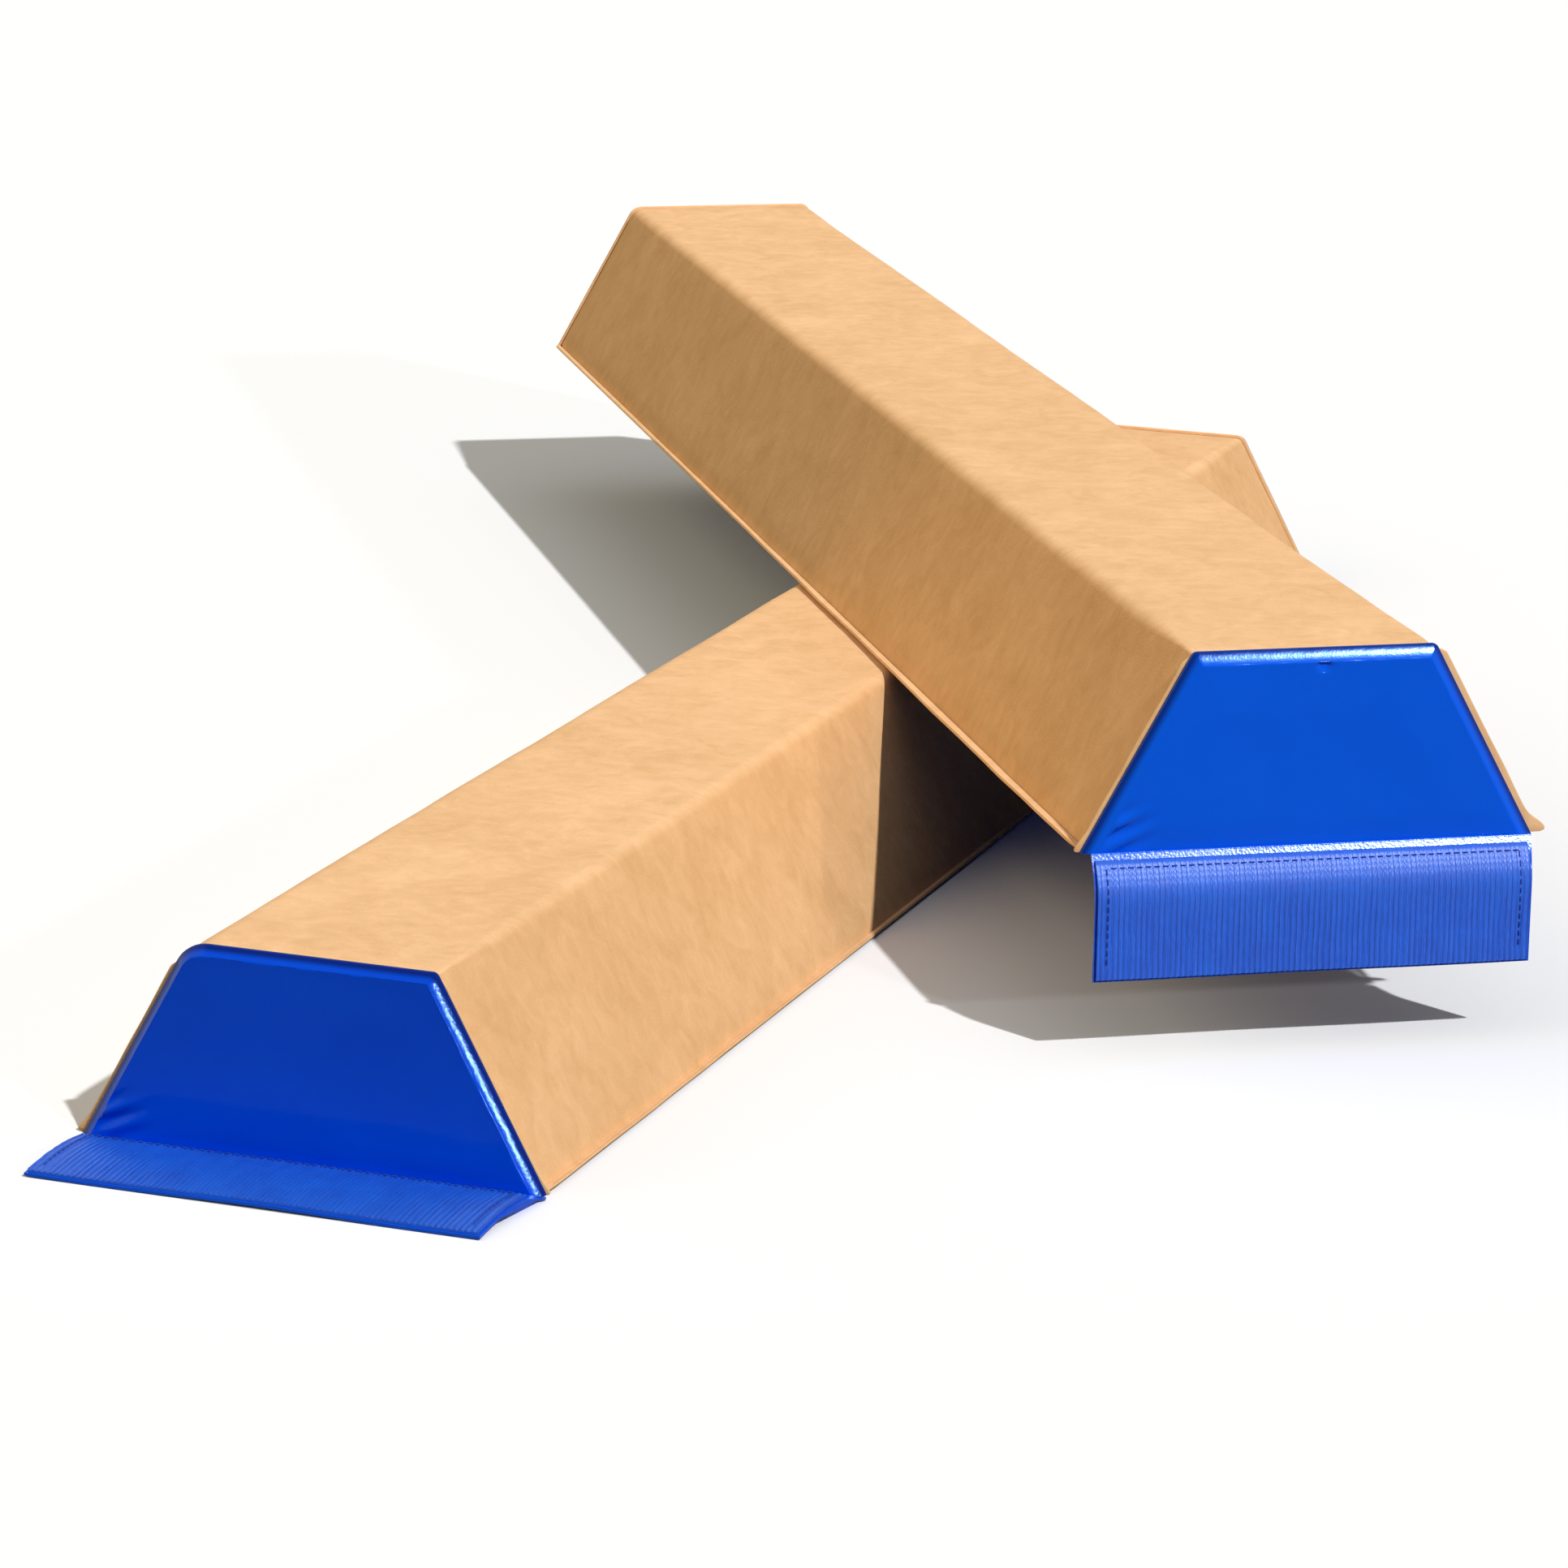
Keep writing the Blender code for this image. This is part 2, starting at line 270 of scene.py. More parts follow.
@dataclass(frozen=True)
class Rim:
    """How finely an outline is divided: along a sloped side, round a top edge and across the top."""

    side_steps: int
    edge_steps: int
    top_steps: int
    sharpest: float = 0.0005

    def half(self, inset: float, foot: float, corner: float) -> list[RimPoint]:
        """Works out the left half of an outline, from the foot to the end of the rounded top edge.

        Args:
            inset: how far the outline is moved inwards from the section's surface.
            foot: the height at which it starts.
            corner: the radius of the top edge at the surface.

        Returns:
            The points.
        """
        normal_y, normal_z = SIZE.side_normal
        first = math.atan2(normal_z, normal_y)
        radius = max(corner - inset, self.sharpest)
        middle_z = SIZE.height - inset - radius
        middle_y = SIZE.side_y(inset + radius, middle_z)
        rise = middle_z + radius * normal_z - foot
        points = []
        for step in range(self.side_steps):
            z = foot + rise * step / self.side_steps
            points.append(RimPoint(SIZE.side_y(inset, z), z, normal_y, normal_z, (z - foot) / normal_y))
        for step in range(self.edge_steps + 1):
            angle = first + (math.pi / 2 - first) * step / self.edge_steps
            across = math.cos(angle)
            up = math.sin(angle)
            run = rise / normal_y + radius * (angle - first)
            points.append(RimPoint(middle_y + radius * across, middle_z + radius * up, across, up, run))
        return points

    def points(self, inset: float, foot: float, corners: Corners) -> list[RimPoint]:
        """Works out an outline from the left foot over the top to the right foot.

        Args:
            inset: how far the outline is moved inwards from the section's surface.
            foot: the height at which it starts and ends.
            corners: the radii of the top edges at the surface.

        Returns:
            The points, the same number for every inset.
        """
        left = self.half(inset, foot, corners.left)
        right = self.half(inset, foot, corners.right)
        right = [RimPoint(-p.y, p.z, -p.normal_y, p.normal_z, p.from_foot) for p in reversed(right)]
        top = []
        for step in range(1, self.top_steps):
            y = left[-1].y + (right[0].y - left[-1].y) * step / self.top_steps
            near = left[-1] if y > 0 else right[0]
            top.append(RimPoint(y, SIZE.height - inset, 0.0, 1.0, near.from_foot + abs(near.y - y)))
        return left + top + right


class Tree:
    """A node tree under construction, with short ways to add and join nodes."""

    NOISE_ROUGHNESS = 0.6

    def __init__(self, tree: NodeGroup) -> None:
        """Wraps a Blender node tree."""
        self.tree = tree

    def add(self, kind: str, values: dict | None = None, **settings: object) -> bpy.types.Node:
        """Adds a node.

        Args:
            kind: Blender's name of the node type.
            values: constants or output sockets for its inputs, by name or index.
            settings: properties of the node itself.

        Returns:
            The new node.
        """
        node = self.tree.nodes.new(kind)
        for name, value in settings.items():
            setattr(node, name, value)
        for name, value in (values or {}).items():
            if isinstance(value, Socket):
                self.tree.links.new(value, node.inputs[name])
            else:
                node.inputs[name].default_value = value
        return node

    def join(self, made: Socket, taken: Socket) -> None:
        """Links an output to an input."""
        self.tree.links.new(made, taken)

    def coordinate(self, name: str) -> Socket:
        """Returns one of the kinds of place on a surface."""
        return self.add("ShaderNodeTexCoord").outputs[name]

    def noise(self, vector: Socket, scale: Socket | float, detail: float, distortion: float = 0.0) -> Socket:
        """Returns the value of a noise texture."""
        values = {"Vector": vector, "Scale": scale, "Detail": detail, "Distortion": distortion}
        return self.add("ShaderNodeTexNoise", values | {"Roughness": self.NOISE_ROUGHNESS}).outputs[0]

    def maths(self, operation: str, first: Socket | float, second: Socket | float) -> Socket:
        """Returns the result of a two-value maths node."""
        return self.add("ShaderNodeMath", {0: first, 1: second}, operation=operation).outputs[0]

    def blend(self, layers: dict[str, Socket], weights: dict[str, Socket | float]) -> Socket:
        """Adds up layers.

        Args:
            layers: the layers by name.
            weights: how much of each goes in, in the order in which they are added.

        Returns:
            The sum.
        """
        total = None
        for name, weight in weights.items():
            part = self.maths("MULTIPLY", layers[name], weight)
            total = part if total is None else self.maths("ADD", total, part)
        return total

    def spread(
        self, value: Socket, span: Span, start: Socket | float = 0.0, stop: Socket | float = 1.0
    ) -> Socket:
        """Returns a value stretched from a span of its own to the range start to stop, and clamped."""
        values = {"Value": value, "From Min": span[0], "From Max": span[1], "To Min": start, "To Max": stop}
        return self.add("ShaderNodeMapRange", values).outputs[0]

    def mix(
        self, share: Socket | float, first: Socket | tuple, second: Socket | tuple, way: str = "MIX"
    ) -> Socket:
        """Returns a mix of two colours."""
        values = {0: share, 6: first, 7: second}
        return self.add("ShaderNodeMix", values, data_type="RGBA", blend_type=way).outputs[2]

    def axis(self, vector: Socket, name: str) -> Socket:
        """Returns one value of a vector."""
        return self.add("ShaderNodeSeparateXYZ", {0: vector}).outputs[name]

    def vector_maths(self, operation: str, vector: Socket, second: Place) -> Socket:
        """Returns a vector worked on by another one, axis by axis."""
        return self.add("ShaderNodeVectorMath", {0: vector, 1: second}, operation=operation).outputs[0]


class SurfaceGroups:
    """Node groups that the finishes share, each built once."""

    COMMON = {"Vector": SocketKind.VECTOR, "Light": SocketKind.COLOUR, "Dark": SocketKind.COLOUR}
    COMBED = (1.0, 0.45, 0.45)
    NAP_TONES = {"patch": 0.32, "mottle": 0.34, "streak": 0.18, "fibre": 0.16}
    NAP_HEIGHTS = {"fibre": 0.6, "streak": 0.25, "mottle": 0.4}
    NAP_SPAN = (0.37, 0.63)
    CLOUD_SCALE = 22.0
    CLOUD_SPAN = (0.3, 0.7)
    SMEARED = (1.0, 1.0, 0.35)
    SMEAR_SCALE = 60.0
    SMEAR_SPAN = (0.35, 0.65)
    GRAIN_HEIGHTS = {"cells": 1.0, "smear": 0.6}
    THREAD_WAVE = {"Distortion": 1.5, "Detail": 2.0}
    FUZZ_SCALE = 1400.0
    FADE_SCALE = 70.0
    WEAVE_TONES = {"height": 0.45, "fade": 0.6}
    WEAVE_SPAN = (0.25, 0.95)

    def __init__(self) -> None:
        """Builds the groups."""
        self.nap = self.build_nap()
        self.grain = self.build_grain()
        self.weave = self.build_weave()

    def start(self, name: str, values: Iterable[str], outputs: Iterable[str]) -> tuple[Tree, dict, dict]:
        """Starts a group with a vector, two tones and values of its own.

        Args:
            name: the group's name.
            values: the names of its own values.
            outputs: the names of the values that it puts out beside a colour.

        Returns:
            The tree, the group's input values by name and its output sockets by name.
        """
        tree = bpy.data.node_groups.new(name, "ShaderNodeTree")
        inputs = self.COMMON | {value: SocketKind.VALUE for value in values}
        results = {"Colour": SocketKind.COLOUR} | {output: SocketKind.VALUE for output in outputs}
        for way, sockets in (("INPUT", inputs), ("OUTPUT", results)):
            for socket, kind in sockets.items():
                tree.interface.new_socket(socket, in_out=way, socket_type=kind.value)
        kit = Tree(tree)
        given = kit.add("NodeGroupInput").outputs
        made = kit.add("NodeGroupOutput").inputs
        return kit, {key: given[key] for key in inputs}, {key: made[key] for key in results}

    def build_nap(self) -> NodeGroup:
        """Builds brushed suede: patches, mottles, fibres, and streaks where the pile lies over.

        Returns:
            The group.
        """
        scales = ("Patch Scale", "Mottle Scale", "Streak Scale", "Fibre Scale")
        kit, given, made = self.start("brushed_nap", scales, ("Height",))
        place = given["Vector"]
        combed = kit.vector_maths("MULTIPLY", place, self.COMBED)
        layers = {
            "patch": kit.noise(place, given["Patch Scale"], detail=3.0, distortion=0.8),
            "mottle": kit.noise(place, given["Mottle Scale"], detail=3.0, distortion=1.2),
            "streak": kit.noise(combed, given["Streak Scale"], detail=2.0, distortion=1.4),
            "fibre": kit.noise(place, given["Fibre Scale"], detail=2.0),
        }
        share = kit.spread(kit.blend(layers, self.NAP_TONES), self.NAP_SPAN)
        kit.join(kit.mix(share, given["Dark"], given["Light"]), made["Colour"])
        kit.join(kit.blend(layers, self.NAP_HEIGHTS), made["Height"])
        return kit.tree

    def build_grain(self) -> NodeGroup:
        """Builds coated vinyl: fine grain, faint cloudy shade and uneven gloss.

        Returns:
            The group.
        """
        values = ("Grain Scale", "Gloss Low", "Gloss High")
        kit, given, made = self.start("coated_grain", values, ("Roughness", "Height"))
        place = given["Vector"]
        cloud = kit.noise(place, self.CLOUD_SCALE, detail=3.0, distortion=0.4)
        smeared = kit.vector_maths("MULTIPLY", place, self.SMEARED)
        smear = kit.noise(smeared, self.SMEAR_SCALE, detail=4.0, distortion=0.6)
        share = kit.spread(cloud, self.CLOUD_SPAN)
        kit.join(kit.mix(share, given["Dark"], given["Light"]), made["Colour"])
        gloss = kit.spread(smear, self.SMEAR_SPAN, given["Gloss Low"], given["Gloss High"])
        kit.join(gloss, made["Roughness"])
        cells = kit.add("ShaderNodeTexVoronoi", {"Vector": place, "Scale": given["Grain Scale"]})
        layers = {"cells": cells.outputs["Distance"], "smear": smear}
        kit.join(kit.blend(layers, self.GRAIN_HEIGHTS), made["Height"])
        return kit.tree

    def build_weave(self) -> NodeGroup:
        """Builds woven tape: crossing threads with loose fibres over them.

        Returns:
            The group.
        """
        kit, given, made = self.start("woven_tape", ("Thread Scale", "Fuzz"), ("Height",))
        place = given["Vector"]
        wave = self.THREAD_WAVE | {"Vector": place, "Scale": given["Thread Scale"]}
        bands = [kit.add("ShaderNodeTexWave", wave, bands_direction=way).outputs[1] for way in ("X", "Y")]
        fuzz = kit.noise(place, self.FUZZ_SCALE, detail=3.0, distortion=0.5)
        threads = {"cross": kit.maths("MULTIPLY", *bands), "fuzz": fuzz}
        height = kit.blend(threads, {"cross": 1.0, "fuzz": given["Fuzz"]})
        kit.join(height, made["Height"])
        fade = kit.noise(place, self.FADE_SCALE, detail=3.0, distortion=0.5)
        share = kit.spread(kit.blend({"height": height, "fade": fade}, self.WEAVE_TONES), self.WEAVE_SPAN)
        kit.join(kit.mix(share, given["Dark"], given["Light"]), made["Colour"])
        return kit.tree


@dataclass(frozen=True)
class Dressing:
    """A material under construction: its tree, the pattern group's outputs and the shader's inputs."""

    kit: Tree
    pattern: bpy.types.bpy_prop_collection
    shader: bpy.types.bpy_prop_collection


@dataclass(frozen=True)
class Finish:
    """What all finishes share: two tones that the colour moves between, the relief's depth and the gloss.

    Attributes:
        name: the material's name.
        light: the lighter tone.
        dark: the darker tone.
        relief: the depth of the surface relief.
        specular: the shader's specular level.
        gloss_tint: the colour of what the surface mirrors.
    """

    name: str
    light: Colour
    dark: Colour
    relief: float
    specular: float = 0.3
    gloss_tint: Colour = (1.0, 1.0, 1.0)

    def pattern(self, groups: SurfaceGroups) -> tuple[NodeGroup, dict[str, float]]:
        """Returns the group that makes the surface, and its own values by name."""
        raise NotImplementedError

    def dress(self, made: Dressing) -> None:
        """Sets what only this kind of finish has."""
        raise NotImplementedError

    def material(self, groups: SurfaceGroups, offset: Place) -> Material:
        """Makes the material.

        Args:
            groups: the node groups that make the surface patterns.
            offset: how far the pattern is shifted.

        Returns:
            The material.
        """
        material = bpy.data.materials.new(self.name)
        material.use_nodes = True
        kit = Tree(material.node_tree)
        shader = material.node_tree.nodes["Principled BSDF"].inputs
        shifted = kit.vector_maths("ADD", kit.coordinate("Object"), offset)
        tones = {"Vector": shifted, "Light": (*self.light, 1.0), "Dark": (*self.dark, 1.0)}
        group, values = self.pattern(groups)
        pattern = kit.add("ShaderNodeGroup", values | tones, node_tree=group).outputs
        kit.join(pattern["Colour"], shader["Base Color"])
        bump = kit.add("ShaderNodeBump", {"Distance": self.relief, "Height": pattern["Height"]})
        kit.join(bump.outputs["Normal"], shader["Normal"])
        shader["Specular IOR Level"].default_value = self.specular
        shader["Specular Tint"].default_value = (*self.gloss_tint, 1.0)
        self.dress(Dressing(kit, pattern, shader))
        return material


@dataclass(frozen=True)
class SuedeFinish(Finish):
    """Brushed synthetic suede, with painted shade that darkens and warms its sloped sides."""

    side_tint: Colour = (0.93, 0.87, 0.77)
    side_span: Span = (0.95, 0.6)
    patch_scale: float = 18.0
    mottle_scale: float = 60.0
    streak_scale: float = 110.0
    fibre_scale: float = 1100.0
    roughness: float = 0.95
    sheen: float = 0.06
    sheen_tint: Colour = (1.0, 0.75, 0.45)

    def pattern(self, groups: SurfaceGroups) -> tuple[NodeGroup, dict[str, float]]:
        """Returns the nap and its scales."""
        broad = {"Patch Scale": self.patch_scale, "Mottle Scale": self.mottle_scale}
        return groups.nap, broad | {"Streak Scale": self.streak_scale, "Fibre Scale": self.fibre_scale}

    def dress(self, made: Dressing) -> None:
        """Paints shade on the sloped sides by darkening them, and sets roughness and sheen.

        Args:
            made: the material so far.
        """
        # painted shade: the sloped sides get a darker, warmer tone, picked by their upward normal
        up = made.kit.axis(made.kit.coordinate("Normal"), "Z")
        side = made.kit.spread(up, self.side_span)
        tone = made.kit.mix(side, made.pattern["Colour"], (*self.side_tint, 1.0), "MULTIPLY")
        made.kit.join(tone, made.shader["Base Color"])
        made.shader["Roughness"].default_value = self.roughness
        made.shader["Sheen Weight"].default_value = self.sheen
        made.shader["Sheen Tint"].default_value = (*self.sheen_tint, 1.0)


@dataclass(frozen=True)
class VinylFinish(Finish):
    """Glossy coated vinyl, moulded plastic or enamel."""

    grain_scale: float = 900.0
    gloss_low: float = 0.13
    gloss_high: float = 0.18
    metallic: float = 0.0

    def pattern(self, groups: SurfaceGroups) -> tuple[NodeGroup, dict[str, float]]:
        """Returns the grain, its scale and the range of its gloss."""
        gloss = {"Gloss Low": self.gloss_low, "Gloss High": self.gloss_high}
        return groups.grain, gloss | {"Grain Scale": self.grain_scale}

    def dress(self, made: Dressing) -> None:
        """Sets the uneven gloss and how metallic the surface is."""
        made.kit.join(made.pattern["Roughness"], made.shader["Roughness"])
        made.shader["Metallic"].default_value = self.metallic


@dataclass(frozen=True)
class CapFinish(VinylFinish):
    """The vinyl of an end cap, with painted shade in the seam behind its rim."""

    seam_tint: Colour = (0.2, 0.22, 0.30)
    seam_span: Span = (0.0010, 0.0024)

    def dress(self, made: Dressing) -> None:
        """Sets the gloss, and paints shade into the seam.

        Args:
            made: the material so far.
        """
        super().dress(made)
        # painted shade: the vinyl is darkened towards the seam behind the rim
        along = made.kit.axis(made.kit.coordinate("Object"), "X")
        depth = made.kit.maths("SUBTRACT", SIZE.end, made.kit.maths("ABSOLUTE", along, 0.0))
        shade = made.kit.spread(depth, self.seam_span)
        tone = made.kit.mix(shade, made.pattern["Colour"], (*self.seam_tint, 1.0), "MULTIPLY")
        made.kit.join(tone, made.shader["Base Color"])


@dataclass(frozen=True)
class TapeFinish(Finish):
    """Woven hook, loop or zip tape, thread, or the skin of the foam."""

    thread_scale: float = 300.0
    fuzz: float = 0.5
    roughness: float = 0.7
    sheen: float = 0.0

    def pattern(self, groups: SurfaceGroups) -> tuple[NodeGroup, dict[str, float]]:
        """Returns the weave, its scale and its fuzz."""
        return groups.weave, {"Thread Scale": self.thread_scale, "Fuzz": self.fuzz}

    def dress(self, made: Dressing) -> None:
        """Sets roughness and sheen."""
        made.shader["Roughness"].default_value = self.roughness
        made.shader["Sheen Weight"].default_value = self.sheen


BLUE_GLOSS = (0.22, 0.42, 1.0)
HAZE_GLOSS = (0.50, 0.62, 1.0)
PALE_GLOSS = (0.75, 0.82, 1.0)
SUEDE_TAN = SuedeFinish(
    "tan_suede", (0.945, 0.597, 0.330), (0.772, 0.460, 0.224), relief=0.00026, specular=0.15
)
SUEDE_EDGE = SuedeFinish(
    "tan_suede_edge", (0.95, 0.64, 0.38), (0.82, 0.50, 0.26), relief=0.0002, specular=0.15, patch_scale=40.0
)
VINYL_BLUE = VinylFinish(
    "blue_vinyl", (0.0, 0.092, 0.76), (0.0, 0.080, 0.71), relief=0.00002, specular=0.25, gloss_tint=HAZE_GLOSS
)
# painted shade: a darker copy of the cap vinyl for the lower section's front end, which stands in shade
SHADED_LOWER_CAP_BLUE = CapFinish(
    "deep_blue_cap_vinyl",
    (0.0, 0.070, 0.70),
    (0.0, 0.062, 0.66),
    relief=0.000008,
    specular=0.17,
    gloss_tint=BLUE_GLOSS,
    gloss_low=0.07,
    gloss_high=0.10,
)
# painted light: a lighter copy of the same cap vinyl for the upper section's lit front end
LIT_UPPER_CAP_BLUE = CapFinish(
    "blue_cap_vinyl",
    (0.0, 0.107, 0.84),
    (0.0, 0.100, 0.80),
    relief=0.000008,
    specular=0.25,
    gloss_tint=BLUE_GLOSS,
    gloss_low=0.11,
    gloss_high=0.15,
)
ENAMEL_BLUE = VinylFinish(
    "blue_enamel", (0.02, 0.07, 0.45), (0.015, 0.05, 0.36), relief=0.00001, specular=0.5, metallic=0.3
)
COIL_BLUE = VinylFinish(
    "blue_zip_coil", (0.01, 0.06, 0.42), (0.005, 0.035, 0.30), relief=0.00002, gloss_low=0.35, gloss_high=0.5
)
# painted shade: a darker copy of the hook tape for the lower flap, which lies facing up into the key light
DIMMED_LOWER_HOOK_BLUE = TapeFinish(
    "deep_blue_hook_tape",
    (0.004, 0.122, 0.66),
    (0.0, 0.052, 0.42),
    relief=0.00012,
    specular=0.95,
    gloss_tint=HAZE_GLOSS,
    roughness=0.40,
    sheen=0.03,
)
# painted light: a lighter copy of the same hook tape for the hanging upper flap, which catches less key light
BRIGHTENED_UPPER_HOOK_BLUE = TapeFinish(
    "blue_hook_tape",
    (0.006, 0.150, 0.84),
    (0.0, 0.066, 0.54),
    relief=0.00010,
    specular=0.95,
    gloss_tint=PALE_GLOSS,
    roughness=0.44,
    sheen=0.03,
)
LOOP_BLUE = TapeFinish(
    "blue_loop_tape",
    (0.02, 0.09, 0.55),
    (0.004, 0.03, 0.30),
    relief=0.0004,
    fuzz=1.2,
    roughness=0.95,
    sheen=0.4,
)
ZIP_BLUE = TapeFinish(
    "blue_zip_tape",
    (0.015, 0.07, 0.45),
    (0.005, 0.03, 0.28),
    relief=0.0001,
    thread_scale=420.0,
    roughness=0.85,
)
THREAD_BLUE = TapeFinish(
    "blue_thread", (0.02, 0.08, 0.48), (0.004, 0.025, 0.26), relief=0.00005, thread_scale=800.0
)
FOAM_WHITE = TapeFinish(
    "white_foam", (0.86, 0.86, 0.83), (0.74, 0.74, 0.70), relief=0.0002, thread_scale=90.0, roughness=0.9
)
SHARED_FINISHES = {
    "suede": SUEDE_TAN,
    "suede_edge": SUEDE_EDGE,
    "vinyl": VINYL_BLUE,
    "enamel": ENAMEL_BLUE,
    "coil": COIL_BLUE,
    "loop": LOOP_BLUE,
    "zip_tape": ZIP_BLUE,
    "thread": THREAD_BLUE,
    "foam": FOAM_WHITE,
}


def skin(shape: Shape, loops: list[Loop]) -> list[list[bmesh.types.BMVert]]:
    """Joins closed loops of equal length with quads.

    Args:
        shape: the mesh to add to.
        loops: the loops in order.

    Returns:
        The new points of each loop.
    """
    rows = [[shape.verts.new(point) for point in loop] for loop in loops]
    count = len(rows[0])
    for low, high in zip(rows, rows[1:]):
        for index in range(count):
            after = (index + 1) % count
            shape.faces.new((low[index], low[after], high[after], high[index]))
    return rows


def add_capped(shape: Shape, loops: list[Loop]) -> None:
    """Adds a closed shape through loops, with a face on the first and the last.

    Args:
        shape: the mesh to add to.
        loops: the loops in order.
    """
    rows = skin(shape, loops)
    for row in (rows[0], rows[-1]):
        shape.faces.new(row)


def capped_skin(loops: list[Loop]) -> Shape:
    """Makes a closed shape through loops, with a face on the first and the last.

    Args:
        loops: the loops in order.

    Returns:
        The shape.
    """
    shape = bmesh.new()
    add_capped(shape, loops)
    return shape


def shell_skin(outer: list[Loop], inner: list[Loop]) -> Shape:
    """Makes a closed sheet between two grids of open rows.

    Args:
        outer: the rows of the outer face.
        inner: the rows of the inner face, as many and as long.

    Returns:
        The sheet.
    """
    shape = bmesh.new()
    rows = skin(shape, [out + back[::-1] for out, back in zip(outer, inner)])
    for row in (rows[0], rows[-1]):
        for index in range(len(row) // 2 - 1):
            shape.faces.new((row[index], row[index + 1], row[-index - 2], row[-index - 1]))
    return shape


@dataclass(frozen=True)
class Thread:
    """Sewing thread: its radius, and the sides of its section. A stitch dives in at both ends."""

    radius: float
    sides: int = 6
    dive: float = 1.2
    dive_share: float = 0.18
    thin: float = 0.5

    def add_stitch(self, shape: Shape, start: Vector, stop: Vector, up: Vector) -> None:
        """Adds one stitch.

        Args:
            shape: the mesh to add to.
            start: where the stitch comes out.
            stop: where it goes in again.
            up: the direction out of the cloth.
        """
        along = stop - start
        across = along.cross(up).normalized()
        level = ((self.dive_share, 0.0, 1.0), (1 - self.dive_share, 0.0, 1.0))
        profile = ((0.0, -self.dive, self.thin), *level, (1.0, -self.dive, self.thin))
        turns = [math.tau / self.sides * step for step in range(self.sides)]
        loops = []
        for share, rise, thick in profile:
            middle = start + along * share + up * (rise * self.radius)
            size = self.radius * thick
            loops.append([middle + (across * math.cos(t) + up * math.sin(t)) * size for t in turns])
        add_capped(shape, loops)


@dataclass(frozen=True)
class Bench:
    """What the sub-assemblies of one section share.

    Attributes:
        prefix: the start of its node and body names.
        place: the matrix from the section's frame to the row frame.
        materials: its materials by name.
        nodes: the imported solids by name.
        seed: the start of its noise.
    """

    prefix: str
    place: Matrix
    materials: dict[str, Material]
    nodes: dict[str, Piece]
    seed: float

    SAME_POINT = 1e-6
    FLAT_DEG = 1.0
    BEVEL_STEPS = 2
    BEVEL_DEG = 40.0

    def add(
        self,
        name: str,
        shape: Shape,
        material: str,
        slot: str,
        body: str = "section",
        nodes: Iterable[str] = (),
        sharp_deg: float = 40.0,
    ) -> Piece:
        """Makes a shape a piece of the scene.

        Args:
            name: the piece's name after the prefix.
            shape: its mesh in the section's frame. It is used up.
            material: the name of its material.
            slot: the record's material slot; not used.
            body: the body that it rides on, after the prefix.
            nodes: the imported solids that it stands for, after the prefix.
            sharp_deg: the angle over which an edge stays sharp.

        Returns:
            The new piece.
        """
        bmesh.ops.recalc_face_normals(shape, faces=shape.faces)
        mesh = bpy.data.meshes.new(self.prefix + name)
        shape.to_mesh(mesh)
        shape.free()
        mesh.shade_smooth()
        mesh.set_sharp_from_angle(angle=math.radians(sharp_deg))
        mesh.materials.append(self.materials[material])
        piece = bpy.data.objects.new(self.prefix + name, mesh)
        bpy.context.scene.collection.objects.link(piece)
        piece.matrix_world = self.place
        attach(piece, self.prefix + body)
        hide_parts(*(self.prefix + node for node in nodes))
        LOG.info("%s: %d points", piece.name, len(mesh.vertices))
        return piece

    def softened(self, node: str, material: str, slot: str, width: float, body: str = "section") -> Piece:
        """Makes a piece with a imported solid's own shape and softly rounded edges.

        Args:
            node: the solid, after the prefix.
            material: the name of the piece's material.
            slot: the record's material slot.
            width: the width of the rounding.
            body: the body that it rides on, after the prefix.

        Returns:
            The new piece.
        """
        shape = bmesh.new()
        shape.from_mesh(self.nodes[self.prefix + node].data)
        shape.transform(self.place.inverted())
        bmesh.ops.remove_doubles(shape, verts=shape.verts, dist=self.SAME_POINT)
        flat = math.radians(self.FLAT_DEG)
        bmesh.ops.dissolve_limit(shape, angle_limit=flat, verts=shape.verts, edges=shape.edges)
        piece = self.add(node + "_piece", shape, material, slot, body, [node])
        bevel = piece.modifiers.new("soft_edges", "BEVEL")
        bevel.width = width
        bevel.segments = self.BEVEL_STEPS
        bevel.limit_method = "ANGLE"
        bevel.angle_limit = math.radians(self.BEVEL_DEG)
        return piece


@dataclass(frozen=True)
class Figure:
    """How one section's long top edges are rounded: at the front end, in the middle and at the back end."""

    front: Corners
    middle: Corners
    back: Corners
    blend_length: float = 0.07

    def corners(self, x: float) -> Corners:
        """Returns the radii at a place along the section."""
        share = smooth_step(0.0, self.blend_length, SIZE.cover_end - abs(x))
        return (self.front if x < 0 else self.back).towards(self.middle, share)


@dataclass(frozen=True)
class Seams:
    """How far the sewn edges of one section stand out.

    Attributes:
        lip_out: the front seam lip along each sloped side.
        lip_flare: what the front seam lip adds at the foot of each side.
        welt_front: each base welt at the front end.
        welt_back: each base welt at the back end.
    """

    lip_out: dict[Hand, float]
    lip_flare: dict[Hand, float]
    welt_front: dict[Hand, float]
    welt_back: float = 0.0002


